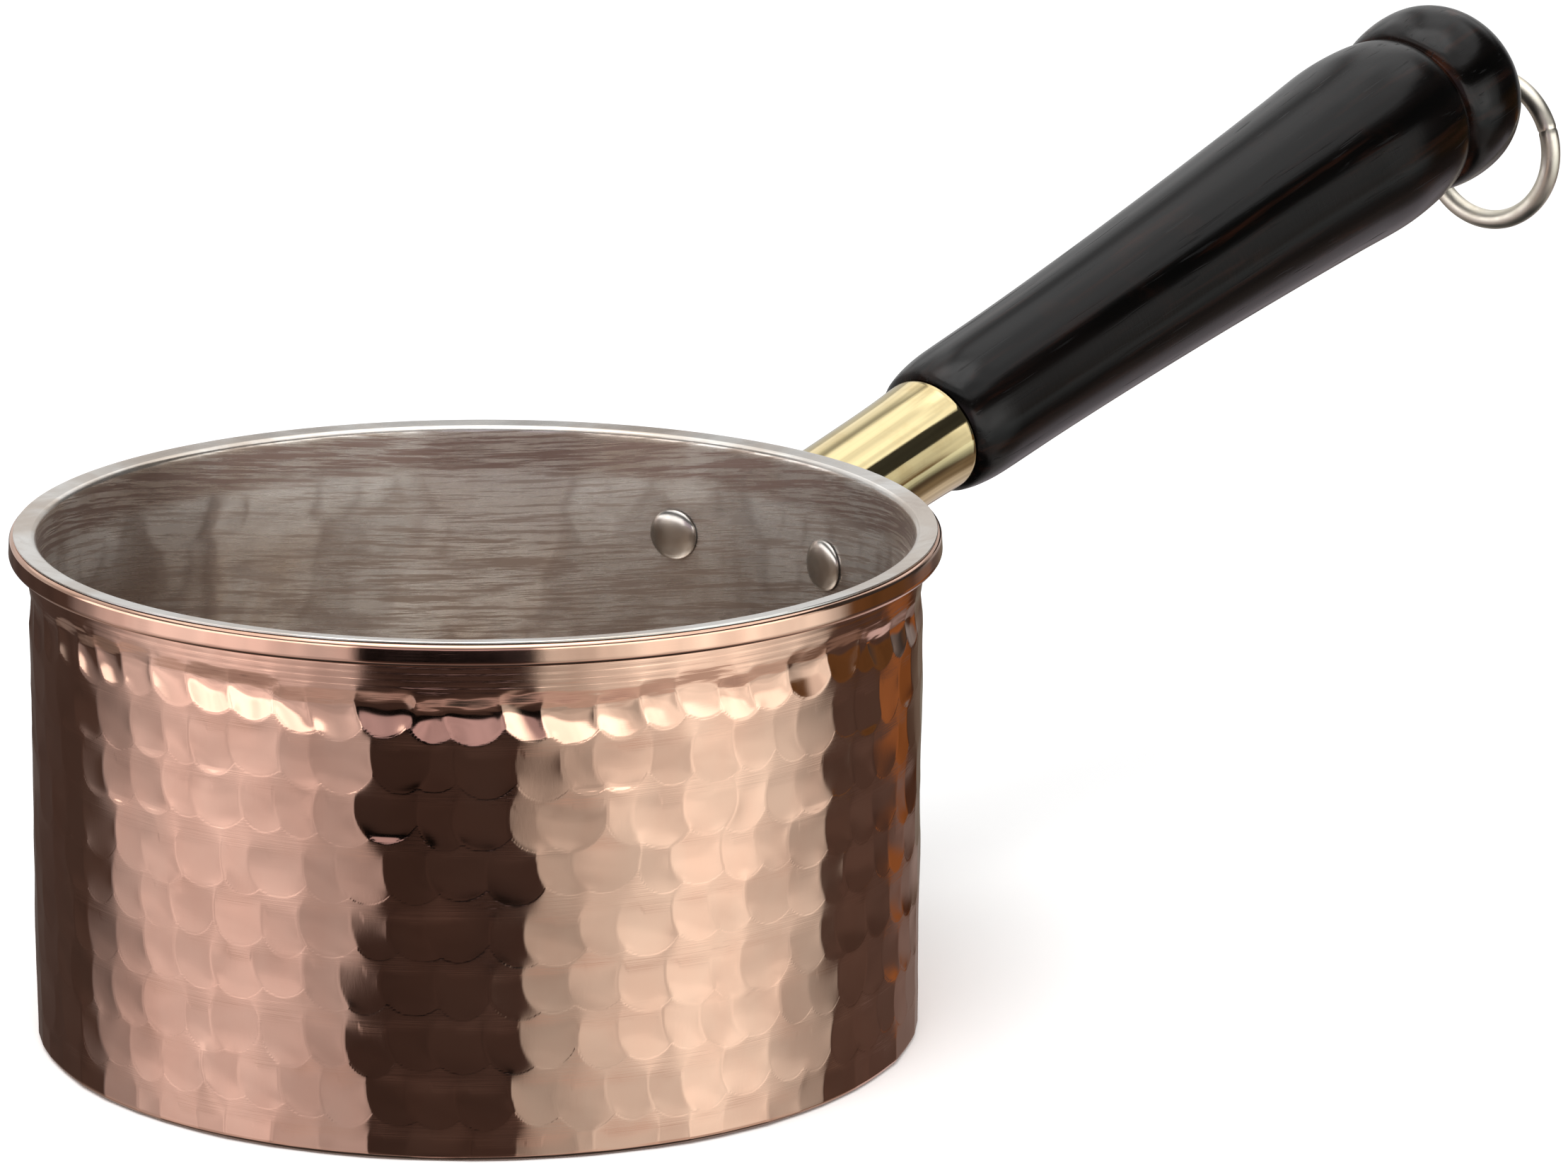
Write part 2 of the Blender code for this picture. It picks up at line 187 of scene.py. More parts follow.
def axis_points(node, matrix):
    """A CAD node's vertices in the matrix's own axes."""
    inverse = np.array(matrix.inverted())
    return node_points(node) @ inverse[:3, :3].T + inverse[:3, 3]


def turned_rings(node, matrix):
    """The (r, reach) of each full ring of vertices of a node turned about the matrix's local Z."""
    rings = {}
    for x, y, z in axis_points(node, matrix):
        key = (round(hypot(x, y), 5), round(z, 5))
        rings[key] = rings.get(key, 0) + 1
    return [ring for ring, count in rings.items() if count >= FULL_RING]


def outer_rings(matrix):
    """The (r, reach) of the rings on the wood's outside, from the ferrule to the knob."""
    rings = turned_rings("wooden_handle", matrix)
    return sorted((ring for ring in rings if ring[0] > BORE_LIMIT), key=lambda ring: ring[::-1])


def groove_reach(matrix):
    """Where the groove lies along the handle's axis: the narrowest ring a little before the knob's end."""
    outer = outer_rings(matrix)
    last = outer[-1][1]
    return min(ring for ring in outer if last - GROOVE_FROM < ring[1] < last - GROOVE_TO)[1]


# --- Making meshes ---
def arc(centre, radius, start_deg, end_deg, points):
    turns = np.radians(np.linspace(start_deg, end_deg, points))
    return [(centre[0] + radius * cos(a), centre[1] + radius * sin(a)) for a in turns]


def straight(start, end, pitch):
    """Points from start up to, but without, end, no further apart than the pitch."""
    start, end = np.array(start), np.array(end)
    count = max(1, ceil(np.linalg.norm(end - start) / pitch))
    return [tuple(start + (end - start) * i / count) for i in range(count)]


def skin(name, rows, ring=False):
    """A closed mesh through rows of points. One point is a pole; a ring's last row meets its first."""
    points = np.concatenate(rows)
    starts = np.cumsum([0] + [len(row) for row in rows])
    pairs = [(i, i + 1) for i in range(len(rows) - 1)]
    if ring:
        pairs.append((len(rows) - 1, 0))
    faces = []
    for a, b in pairs:
        count = max(len(rows[a]), len(rows[b]))
        i = np.arange(count)
        j = (i + 1) % count
        if len(rows[a]) == 1:
            found = np.stack([np.full(count, starts[a]), starts[b] + j, starts[b] + i], 1)
        elif len(rows[b]) == 1:
            found = np.stack([starts[a] + i, starts[a] + j, np.full(count, starts[b])], 1)
        else:
            found = np.stack([starts[a] + i, starts[a] + j, starts[b] + j, starts[b] + i], 1)
        faces.append(found)
    volume = 0.0
    for found in faces:
        p = points[found]
        volume += np.einsum("ij,ij->i", p[:, 0], np.cross(p[:, 1], p[:, 2])).sum()
        if found.shape[1] == 4:
            volume += np.einsum("ij,ij->i", p[:, 0], np.cross(p[:, 2], p[:, 3])).sum()
    if volume < 0:
        faces = [found[:, ::-1] for found in faces]
    mesh = bpy.data.meshes.new(name)
    mesh.from_pydata(points.tolist(), [], [face for found in faces for face in found.tolist()])
    mesh.shade_smooth()
    mesh.set_sharp_from_angle(angle=radians(35))
    piece = bpy.data.objects.new(name, mesh)
    bpy.context.scene.collection.objects.link(piece)
    return piece


def lathe_rows(outline, columns):
    turns = np.linspace(0, 2 * pi, columns, endpoint=False)
    rows = []
    for r, z in outline:
        if r < AXIS_NEAR:
            rows.append(np.array([[0.0, 0.0, z]]))
        else:
            rows.append(np.stack([r * np.cos(turns), r * np.sin(turns), np.full(columns, z)], 1))
    return rows


def wall_rows(radii, heights):
    """Level rows of points, one for each height, from a grid of radii."""
    columns = radii.shape[1]
    turns = np.linspace(0, 2 * pi, columns, endpoint=False)
    rows = []
    for r, z in zip(radii, heights):
        rows.append(np.stack([r * np.cos(turns), r * np.sin(turns), np.full(columns, z)], 1))
    return rows


def store(piece, name, values):
    """Keeps one number for each vertex, which the piece's material reads."""
    attribute = piece.data.attributes.new(name, "FLOAT", "POINT")
    attribute.data.foreach_set("value", values.astype(np.float32))


def turned(name, outline, columns, ring=False, matrix=None):
    piece = skin(name, lathe_rows(outline, columns), ring)
    if matrix:
        piece.matrix_world = matrix
    return piece


def flowing(points, pitch):
    """A smooth line through the points, resampled at the pitch."""
    points = [np.array(p, float) for p in points]
    padded = [2 * points[0] - points[1]] + points + [2 * points[-1] - points[-2]]
    line = []
    for p0, p1, p2, p3 in zip(padded, padded[1:], padded[2:], padded[3:]):
        knots = [0.0]
        for a, b in ((p0, p1), (p1, p2), (p2, p3)):
            knots.append(knots[-1] + max(np.linalg.norm(b - a), 1e-9) ** 0.5)
        t0, t1, t2, t3 = knots
        count = max(1, ceil(np.linalg.norm(p2 - p1) / pitch))
        for i in range(count):
            t = t1 + (t2 - t1) * i / count
            a1 = p0 * (t1 - t) / (t1 - t0) + p1 * (t - t0) / (t1 - t0)
            a2 = p1 * (t2 - t) / (t2 - t1) + p2 * (t - t1) / (t2 - t1)
            a3 = p2 * (t3 - t) / (t3 - t2) + p3 * (t - t2) / (t3 - t2)
            b1 = a1 * (t2 - t) / (t2 - t0) + a2 * (t - t0) / (t2 - t0)
            b2 = a2 * (t3 - t) / (t3 - t1) + a3 * (t - t1) / (t3 - t1)
            line.append(tuple(b1 * (t2 - t) / (t2 - t1) + b2 * (t - t1) / (t2 - t1)))
    line.append(tuple(points[-1]))
    return line


def smoothstep(low, high, values):
    t = np.clip((values - low) / (high - low), 0, 1)
    return t * t * (3 - 2 * t)


def settle(piece, body, material, *nodes):
    """Puts a piece on its body, in its material, in place of its CAD nodes."""
    piece.data.materials.clear()
    piece.data.materials.append(material)
    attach(piece, body)
    if nodes:
        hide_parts(*nodes)
    return piece


# --- The hammer marks ---
def hammer_marks(sizes):
    """Each mark's place, size and lean, in the order of striking: row by row upward, round the pot."""
    draw = random.Random(MARK_SEED)
    rows = []
    for row in range(MARK_ROWS):
        low = sizes["band_low"] - FIRST_ROW_DROP - row * MARK_ROW_PITCH
        count = MARKS_AROUND + draw.choice((-1, 0, 0, 1))
        phase = draw.uniform(0, 1)
        wave = draw.uniform(0, 2 * pi)
        marks = []
        for i in range(count):
            turn = 2 * pi * (i + phase + draw.uniform(-0.2, 0.2)) / count
            drift = 0.0007 * sin(3 * turn + wave)
            length = FIRST_ROW_LENGTH if row == 0 else MARK_LENGTH
            marks.append(
                {
                    "first": row == 0,
                    "struck": i + draw.uniform(-0.7, 0.7),
                    "turn": turn % (2 * pi),
                    "low": low + drift + draw.uniform(-0.0007, 0.0007),
                    "length": length * draw.uniform(0.92, 1.08),
                    "half_width": MARK_HALF_WIDTH * draw.uniform(0.88, 1.14),
                    "round": MARK_ROUND * draw.uniform(0.85, 1.12),
                    "force": draw.uniform(0.5, 1.15),
                    "crescent": CRESCENT_CLIMB * (row < 3 and draw.random() < 0.3),
                    "lean_around": radians(draw.gauss(0, 1.5)),
                    "lean_up": radians(draw.gauss(0, 0.6)),
                }
            )
        marks.sort(key=lambda mark: mark["struck"])
        rows.append(marks)
    return [mark for row in reversed(rows) for mark in row]


def torn_lines(heights, columns):
    """Unit noise that is the same over a few heights and then jumps, as brushed metal tears."""
    draw = np.random.default_rng(MARK_SEED)
    levels = len(heights) // TORN_ROWS + 1
    spectrum = np.zeros((levels, columns // 2 + 1), complex)
    waves = spectrum[:, 1:TORN_WAVES]
    waves += draw.normal(size=waves.shape) + 1j * draw.normal(size=waves.shape)
    lines = np.fft.irfft(spectrum, columns, axis=1)
    return np.repeat(lines / lines.std(), TORN_ROWS, axis=0)[: len(heights)]


def rise_of(mark, up, side, torn):
    """How fast a mark's face comes outward with height, at a share of the way up the mark."""
    if mark["first"]:
        bowed = up - 0.28 * side**2
        ragged = up + TORN_SHARE * torn
        climb = -FIRST_ROW_CLIMB * (1.1 - 0.5 * up) * (1 - smoothstep(0.30, 0.66, bowed))
        plunge = FIRST_ROW_PLUNGE * smoothstep(0.60, 0.76, ragged) * (1 - smoothstep(0.88, 0.97, ragged))
        return mark["force"] * (climb + plunge)
    crown = MARK_CROWN * (2 * up - 0.9) * (1 - smoothstep(0.66, 1.0, up))
    return crown - mark["crescent"] * (1 - smoothstep(0.02, 0.16, up))


def struck_slopes(marks, heights, columns, wall_r):
    """(slope around, slope up, share unstruck) over a grid. Each mark flattens what was there."""
    around = np.zeros((len(heights), columns))
    upward = np.zeros((len(heights), columns))
    plain = np.ones((len(heights), columns))
    turns = np.linspace(0, 2 * pi, columns, endpoint=False)
    torn = torn_lines(heights, columns)
    for mark in marks:
        reach = mark["half_width"] + 2 * MARK_EDGE
        centre = int(round(mark["turn"] / (2 * pi) * columns))
        span = ceil(reach / (2 * pi * wall_r / columns)) + 1
        cols = np.arange(centre - span, centre + span + 1) % columns
        length = mark["length"]
        near = (heights > mark["low"] - 2 * MARK_EDGE) & (heights < mark["low"] + length)
        rows = np.flatnonzero(near)
        if not len(rows):
            continue
        gap = (turns[cols] - mark["turn"] + pi) % (2 * pi) - pi
        u = (gap * wall_r)[None, :]
        v = (heights[rows] - mark["low"])[:, None]
        below = (v - mark["round"]) / mark["round"]
        below = np.where(below < 0, below, 0.8 * below)
        shape = np.sqrt((u / mark["half_width"]) ** 2 + below**2)
        distance = (shape - 1) * min(mark["half_width"], mark["round"])
        inside = 1 - smoothstep(-MARK_EDGE, MARK_EDGE, distance)
        up = v / length
        fade = 1 - smoothstep(0.66, 1.0, up)
        grid = np.ix_(rows, cols)
        share = inside * smoothstep(0, 0.12, 1 - up)
        dish = 2.4 if mark["first"] else 1.0
        flat = MARK_FLATNESS * dish * u / wall_r
        around[grid] += ((flat + mark["lean_around"]) * fade - around[grid]) * share
        rise = rise_of(mark, up, u / mark["half_width"], torn[grid])
        upward[grid] += (rise + mark["lean_up"] * fade - upward[grid]) * share
        plain[grid] *= 1 - inside * (1 - smoothstep(0.52, 0.88, up))
    return around, upward, plain


def relief(around, upward, pitch_around, pitch_up):
    """The surface whose slopes fit the given ones best, found in one step with a Fourier transform."""
    around = np.concatenate([around, around[::-1]])
    upward = np.concatenate([upward, -upward[::-1]])
    rows, columns = around.shape
    step_up = (np.exp(2j * pi * np.fft.fftfreq(rows)) - 1)[:, None] / pitch_up
    step_around = (np.exp(2j * pi * np.fft.fftfreq(columns)) - 1)[None, :] / pitch_around
    size = np.abs(step_up) ** 2 + np.abs(step_around) ** 2
    size[0, 0] = 1.0
    wanted = np.conj(step_around) * np.fft.fft2(around) + np.conj(step_up) * np.fft.fft2(upward)
    return np.fft.ifft2(wanted / size).real[: rows // 2]


def hammered_relief(sizes, marks, heights, columns):
    """(offset from the plain wall, share still unstruck) over evenly spaced heights, lowest first."""
    wall_r = sizes["wall_r"]
    around, upward, plain = struck_slopes(marks, heights, columns, wall_r)
    offset = relief(around, upward, 2 * pi * wall_r / columns, heights[1] - heights[0])
    neck = heights > sizes["band_low"] - GROOVE_ZONE / 2
    foot = heights < heights[0] + 0.006
    at_neck = offset[neck].mean(0)
    offset -= at_neck.mean()
    down = (heights[-1] - heights) / (heights[-1] - heights[0])
    offset -= offset[foot].mean() * down[:, None]
    settled = smoothstep(heights[-1] - SETTLING, heights[-1] - GROOVE_ZONE, heights)
    offset -= (at_neck - at_neck.mean())[None, :] * settled[:, None]
    return offset, plain


# --- The pot ---
def neck_grooves(heights, band_low):
    """The fine grooves that the last turning left in the plain zone under the band."""
    draw = random.Random(GROOVE_SEED)
    depth = np.zeros(len(heights))
    drop = 0.0006
    while drop < GROOVE_ZONE:
        half_width = draw.uniform(0.00020, 0.00032)
        away = np.abs(heights - (band_low - drop)) / half_width
        depth -= draw.uniform(0.000008, 0.000022) * np.clip(1 - away, 0, 1)
        drop += draw.uniform(0.0006, 0.0011)
    return depth


def copper_pot(sizes, marks, material):
    """One sheet: up the inside, over the rim, down the band, round the hem and down the hammered wall."""
    wall_r, rim_r, top = sizes["wall_r"], sizes["rim_r"], sizes["copper_top"]
    low, floor = sizes["band_low"], sizes["copper_floor"]
    inner_r = wall_r - 0.0010
    corner = 0.0020
    lip_r = 0.0007
    sheet = 0.0007
    edge = 0.00075
    foot = 0.0008
    inside = [(0, floor)]
    inside += arc((inner_r - corner, floor + corner), corner, -90, 0, 9)
    inside += arc((inner_r + lip_r, top - RIM_DROP - lip_r), lip_r, 180, 90, 7)
    rim = arc((rim_r - BAND_LEAN - edge, top - edge), edge, 90, 0, 12)
    band = straight((rim_r - BAND_LEAN, top - edge), (rim_r, low + sheet), 0.0003)[1:]
    tuck = arc((rim_r - sheet, low + sheet), sheet, 0, -90, 8)
    hem_r = wall_r + 0.00035
    hem_top = top - 0.0008
    hem = [(hem_r + 0.0001, low), (hem_r, low + 0.0001), (hem_r, low + sheet)]
    hem += [(rim_r - sheet, low + sheet), (rim_r - sheet, hem_top), (wall_r, hem_top)]
    rows = lathe_rows(inside + rim + band + tuck + hem, WALL_COLUMNS)
    heights = np.arange(foot, low + 0.0005, FINE_PITCH)
    offset, plain = hammered_relief(sizes, marks, heights, WALL_COLUMNS)
    radii = wall_r + offset + neck_grooves(heights, low)[:, None]
    fine = heights > low - FIRST_ROW_DROP + FIRST_ROW_LENGTH * 0.4
    kept = np.flatnonzero(fine | (np.arange(len(heights)) % 2 == 0))[::-1]
    base = arc((wall_r - foot, foot), foot, 0, -90, 7)[1:] + [(0, 0)]
    base_rows = lathe_rows(base, WALL_COLUMNS)
    for share, row in zip(FOOT_SHARES, base_rows):
        row[:, :2] *= 1 + share * offset[0][:, None] / wall_r
    piece = skin("hammered_copper_pot", rows + wall_rows(radii[kept], heights[kept]) + base_rows)
    brushed = np.full(sum(len(row) for row in rows), RIM_BRUSHING)
    unstruck = np.ones(sum(len(row) for row in base_rows))
    store(piece, "plain", np.concatenate([brushed, plain[kept].ravel(), unstruck]))
    return settle(piece, "pot", material, "copper_body")


def tinned_inside(sizes, marks, material):
    """The tin: the inside, with the hammer marks showing through as low bumps, and the rim's flat top."""
    inner_r, top, floor = sizes["inner_r"], sizes["top"], sizes["floor"]
    rim_edge = sizes["rim_r"] - 0.00075
    corner = LINING_CORNER
    tin = 0.0003
    lip = 0.0011
    bottom = [(0, floor)] + straight((0.02, floor), (inner_r - corner, floor), 0.004)
    bottom += arc((inner_r - corner, floor + corner), corner, -90, 0, 9)[:-1]
    bottom_rows = lathe_rows(bottom, LINING_COLUMNS)
    heights = np.linspace(floor + corner, top - RIM_DROP - lip, LINING_ROWS)
    even = [{**mark, "first": False, "crescent": 0.0} for mark in marks]
    blurred, _ = hammered_relief(sizes, even, heights, LINING_COLUMNS)
    swell = (blurred - blurred.mean(1, keepdims=True)) / SWELL_DEPTH
    for _ in range(3):
        blurred = (np.roll(blurred, 1, 1) + np.roll(blurred, -1, 1) + 2 * blurred) / 4
        blurred[1:-1] = (blurred[:-2] + blurred[2:] + 2 * blurred[1:-1]) / 4
    ends = smoothstep(heights[0], heights[0] + 0.004, heights) * smoothstep(-0.079, -0.074, -heights)
    radii = inner_r + INSIDE_SHARE * np.minimum(blurred, SWELL_DEPTH) * ends[:, None]
    rim = arc((inner_r + lip, heights[-1]), lip, 180, 90, 10)[1:]
    rim += straight((inner_r + lip + 0.0003, top - 0.00022), (rim_edge - 0.0002, top), 0.0006)
    rim += [(rim_edge - 0.0001, top), (rim_edge, top - 0.0001), (rim_edge, top - tin)]
    back = arc((inner_r + lip, heights[-1]), lip - tin, 90, 180, 6)
    back += arc((inner_r - corner, floor + corner), corner + tin, 0, -90, 8) + [(0, floor - tin)]
    rim_rows = lathe_rows(rim + back, LINING_COLUMNS)
    piece = skin("tinned_inside", bottom_rows + wall_rows(radii, heights) + rim_rows)
    before = np.zeros(sum(len(row) for row in bottom_rows))
    after = np.zeros(sum(len(row) for row in rim_rows))
    store(piece, "swell", np.concatenate([before, (swell * ends[:, None]).ravel(), after]))
    return settle(piece, "pot", material, "tin_lining")


# --- The handle and what is turned with it ---
def wooden_grip(matrix, material):
    """The handle's own outline: cornered up to the shoulder, then smooth through every ring."""
    rings = turned_rings("wooden_handle", matrix)
    reaches = axis_points("wooden_handle", matrix)[:, 2]
    tip = reaches.max()
    inner = [ring for ring in rings if ring[0] < BORE_LIMIT]
    bore_end = max(reach for _, reach in inner if reach < np.median(reaches))
    bore = sorted((ring for ring in inner if ring[1] <= bore_end), key=lambda ring: (-ring[1], ring[0]))
    outer = outer_rings(matrix)
    shoulder = next(i for i in range(1, len(outer)) if outer[i][1] - outer[i - 1][1] < 1e-5)
    grip = flowing(outer[shoulder:], 0.0012)
    end = flowing([outer[-1], (0.0, tip)], 0.0007)[1:-1]
    outline = [(0.0, bore_end)] + bore + outer[:shoulder] + grip + end + [(0.0, tip)]
    piece = turned("turned_wooden_handle", outline, TURNED_COLUMNS, matrix=matrix)
    return settle(piece, "pot", material, "wooden_handle")


def brass_ferrule(matrix, material):
    """The tube's own outline, with both of its ends eased."""
    rings = turned_rings("ferrule", matrix)
    reaches = sorted({reach for _, reach in rings})
    outer = [(max(r for r, at in rings if at == reach), reach) for reach in reaches]
    inner = [(min(r for r, at in rings if at == reach), reach) for reach in reaches]
    smooth = flowing(outer, 0.001)
    ease = 0.00025
    start, end = smooth[0], smooth[-1]
    outline = arc((start[0] - ease, start[1] + ease), ease, -90, 0, 5)
    outline += [p for p in smooth if start[1] + ease < p[1] < end[1] - ease]
    outline += arc((end[0] - ease, end[1] - ease), ease, 0, 90, 5)
    outline += inner[::-1]
    piece = turned("brass_ferrule", outline, TURNED_COLUMNS, ring=True, matrix=matrix)
    return settle(piece, "pot", material, "ferrule")


# --- The bracket ---
def convex_outline(lobes):
    """The convex hull, in order, of circles at (y, z, radius)."""
    points = set()
    for y, z, radius in lobes:
        for a in np.radians(np.arange(0, 360, 3)):
            points.add((round(y + radius * cos(a), 7), round(z + radius * sin(a), 7)))
    points = sorted(points)
    hull = []
    for ordered in (points, points[::-1]):
        side = []
        for p in ordered:
            while len(side) > 1:
                (ax, ay), (bx, by) = side[-2], side[-1]
                if (bx - ax) * (p[1] - ay) - (by - ay) * (p[0] - ax) > 0:
                    break
                side.pop()
            side.append(p)
        hull += side[:-1]
    return hull


def cast(hull, centre, turn):
    """The distance from the centre to the outline in the direction of the turn."""
    direction = (cos(turn), sin(turn))
    for (ax, ay), (bx, by) in zip(hull, hull[1:] + hull[:1]):
        ex, ey = bx - ax, by - ay
        below = direction[0] * ey - direction[1] * ex
        if abs(below) < 1e-12:
            continue
        away = ((ax - centre[0]) * ey - (ay - centre[1]) * ex) / below
        along = ((ax - centre[0]) * direction[1] - (ay - centre[1]) * direction[0]) / below
        if away > 0 and -1e-9 <= along <= 1 + 1e-9:
            return away
    return 0.0


def on_wall(place, radius):
    """The point at a (y, z) on an upright cylinder about the pot's axis."""
    y, z = place
    return np.array([sqrt(radius**2 - y**2), y, z])


def on_collar(matrix, turn, reach, radius):
    """The point at a turn and a radius round the handle's axis, at a reach along it."""
    x_axis, y_axis, direction = (np.array(matrix.col[i][:3]) for i in range(3))
    hub = np.array(matrix.translation)
    return hub + direction * reach + radius * (cos(turn) * x_axis + sin(turn) * y_axis)


def collar_foot(matrix, turn, form):
    """How far along the handle's axis the collar's side meets the plate's face."""
    near, far = -0.2, form["collar_end"]
    for _ in range(40):
        middle = (near + far) / 2
        point = on_collar(matrix, turn, middle, form["collar_r"])
        if hypot(point[0], point[1]) < form["face_r"]:
            near = middle
        else:
            far = middle
    return near


def plate_line(matrix, turn, form, hull):
    """Points down the collar's fillet, over the plate's face, round its edge and in along its back."""
    face_r, back_r, collar_r = form["face_r"], form["back_r"], form["collar_r"]
    hub = np.array([0.0, form["hub_z"]])
    foot_reach = collar_foot(matrix, turn, form)
    foot = on_collar(matrix, turn, foot_reach, collar_r)
    heading = atan2(foot[2] - hub[1], foot[1])
    away = np.array([cos(heading), sin(heading)])
    limit = cast(hull, hub, heading)
    flat_end = limit - PLATE_EDGE
    start = hypot(foot[1], foot[2] - hub[1])
    flat_start = start + max(min(FILLET, (flat_end - start) * 0.8), 0.0002)
    top = on_collar(matrix, turn, min(foot_reach + FILLET, form["collar_end"] - 0.0003), collar_r)
    out = on_wall(away * flat_start + hub, face_r)
    line = [top * (1 - s) ** 2 + foot * 2 * s * (1 - s) + out * s**2 for s in np.linspace(0, 1, 9)]
    for s in np.linspace(0, 1, 4)[1:]:
        line.append(on_wall(away * (flat_start + (flat_end - flat_start) * s) + hub, face_r))
    for a in np.radians(np.linspace(80, 0, 6)):
        reach = flat_end + PLATE_EDGE * cos(a)
        line.append(on_wall(away * reach + hub, face_r - PLATE_EDGE + PLATE_EDGE * sin(a)))
    line.append(on_wall(away * limit + hub, back_r + 0.0002))
    for reach in (limit - 0.0002, limit * 0.66, limit * 0.33, limit * 0.1):
        line.append(on_wall(away * reach + hub, back_r))
    return line


def bracket(sizes, matrix, rivets, material):
    """A cast plate that follows the wall, rising in a fillet to the collar and the spigot."""
    rings = turned_rings("handle_bracket", matrix)
    cad = node_points("handle_bracket")
    back_r = np.hypot(cad[:, 0], cad[:, 1]).min()
    spigot_end = max(reach for _, reach in rings)
    collar_end = min(reach for r, reach in rings if r > COLLAR_LIMIT)
    collar_r = max(r for r, reach in rings if reach == collar_end)
    spigot_r = max(r for r, reach in rings if reach == spigot_end)
    socket_r = min(r for r, reach in rings if reach == spigot_end)
    socket_start = spigot_end - SOCKET_DEPTH
    hub = np.array(matrix.translation)
    direction = np.array(matrix.col[2][:3])
    hub_z = hub[2] + direction[2] * (sizes["wall_r"] - hub[0]) / direction[0]
    form = {"back_r": back_r, "face_r": back_r + PLATE_DEPTH, "hub_z": hub_z}
    form.update(collar_end=collar_end, collar_r=collar_r)
    lobes = [(0.0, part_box("handle_bracket")[1].z - TOP_LOBE, TOP_LOBE)]
    hull = convex_outline(lobes + [(y, z, RIVET_LOBE) for y, z in rivets])
    turns = np.linspace(0, 2 * pi, BRACKET_COLUMNS, endpoint=False)
    plate_rows = [np.array(row) for row in zip(*(plate_line(matrix, turn, form, hull) for turn in turns))]
    ease = 0.0003
    stem = [(socket_r, socket_start), (socket_r, spigot_end), (spigot_r - ease, spigot_end)]
    stem += [(spigot_r, spigot_end - ease), (spigot_r, collar_end), (collar_r - ease, collar_end)]
    stem_rows = [np.array([hub + direction * socket_start])]
    for r, reach in stem:
        stem_rows.append(np.array([on_collar(matrix, turn, reach, r) for turn in turns]))
    centre = np.array([[back_r, 0.0, hub_z]])
    piece = skin("riveted_bracket", stem_rows + plate_rows + [centre])
    return settle(piece, "pot", material, "handle_bracket")


def rivet(node, material, seed):
    """A hand-set rivet: a domed head with a few flats from the hammer, a shank and a flatter tail."""
    points = node_points(node)
    low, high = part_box(node)
    middle = (low + high) / 2
    turn = atan2(middle.y, middle.x)
    out = np.array([cos(turn), sin(turn), 0.0])
    place = np.array([0.0, 0.0, middle.z])
    reach = (points - place) @ out
    side = np.linalg.norm(points - place - reach[:, None] * out, axis=1)
    head_r = side.max()
    shank_r = RIVET_SHANK
    waist_r = head_r - 0.0001
    wide = reach[side > head_r - 1e-5]
    head_base, tail_base = wide.max(), wide.min()
    dome, tail = reach.max() - head_base, tail_base - reach.min()
    turns = np.radians(np.linspace(90, 0, 14))
    outline = [(head_r * cos(a), head_base + dome * sin(a) ** 0.9) for a in turns]
    outline[0] = (0.0, head_base + dome)
    outline += [(waist_r, head_base), (shank_r, head_base), (shank_r, tail_base), (waist_r, tail_base)]
    outline += [(head_r * cos(a), tail_base - tail * sin(a)) for a in turns[::-1]]
    outline[-1] = (0.0, tail_base - tail)
    matrix = axis_matrix(place, out)
    piece = turned(f"set_{node}", outline, RIVET_COLUMNS, matrix=matrix)
    draw = random.Random(seed)
    flats = [(draw.uniform(0, 6.28), draw.uniform(0.2, 0.75)) for _ in range(RIVET_FLATS)]
    for vertex in piece.data.vertices:
        if vertex.co.z < head_base:
            continue
        for flat_turn, lean in flats:
            normal = Vector((cos(flat_turn) * lean, sin(flat_turn) * lean, 1.0)).normalized()
            limit = head_base * normal.z + dome * (1.02 - 0.28 * lean) + 0.0009 * lean
            above = vertex.co.dot(normal) - limit
            if above > 0:
                vertex.co -= normal * above
    return settle(piece, "pot", material, node)


# --- The screw eye and the ring ---
def screw_eye(material):
    """A wire bent into an eye whose end comes back to its stem, threaded where it is in the wood."""
    low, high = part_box("screw_eye")
    outer = (high.z - low.z) / 2
    stem_r = (high.y - low.y) / 2
    bar_r = EYE_WIRE
    eye_r = outer - bar_r
    centre = Vector((high.x - outer, 0, (high.z + low.z) / 2))
    line = []
    radii = []
    length = centre.x - low.x
    start = eye_r + 0.0026
    for i in range(THREAD_STEPS + 1):
        s = i / THREAD_STEPS
        x = -length + (length - start) * s
        depth = (x + length) / THREAD_POINT
        point_in = min(1.0, 0.12 + 0.88 * depth)
        thread = 0.5 + 0.5 * cos(2 * pi * x / THREAD_PITCH)
        line.append(Vector((x, 0, 0)))
        radii.append(stem_r * point_in * (1 - 0.16 * thread * min(1, (1 - s) * 8)))
    for i in range(1, 12):
        s = i / 12
        ease = s * s * (3 - 2 * s)
        line.append(Vector((-start + (start - eye_r * 0.93) * s, 0, -eye_r * 0.36 * ease * 0.5)))
        radii.append(stem_r + (bar_r - stem_r) * ease)
    first, last = radians(196), radians(196 + 328)
    for i in range(72):
        a = first + (last - first) * i / 71
        line.append(Vector((eye_r * cos(a), 0, eye_r * sin(a))))
        radii.append(bar_r)
    rows = [np.array([np.array(centre + line[0])])]
    for i, (point, radius) in enumerate(zip(line, radii)):
        ahead = (line[min(i + 1, len(line) - 1)] - line[max(i - 1, 0)]).normalized()
        across = Vector((0, 1, 0))
        up = ahead.cross(across).normalized()
        ring = []
        for k in range(EYE_COLUMNS):
            a = 2 * pi * k / EYE_COLUMNS
            ring.append(np.array(centre + point + radius * (cos(a) * across + sin(a) * up)))
        rows.append(np.array(ring))
    rows.append(np.array([np.array(centre + line[-1])]))
    return settle(skin("screw_eye_wire", rows), "pot", material, "screw_eye")


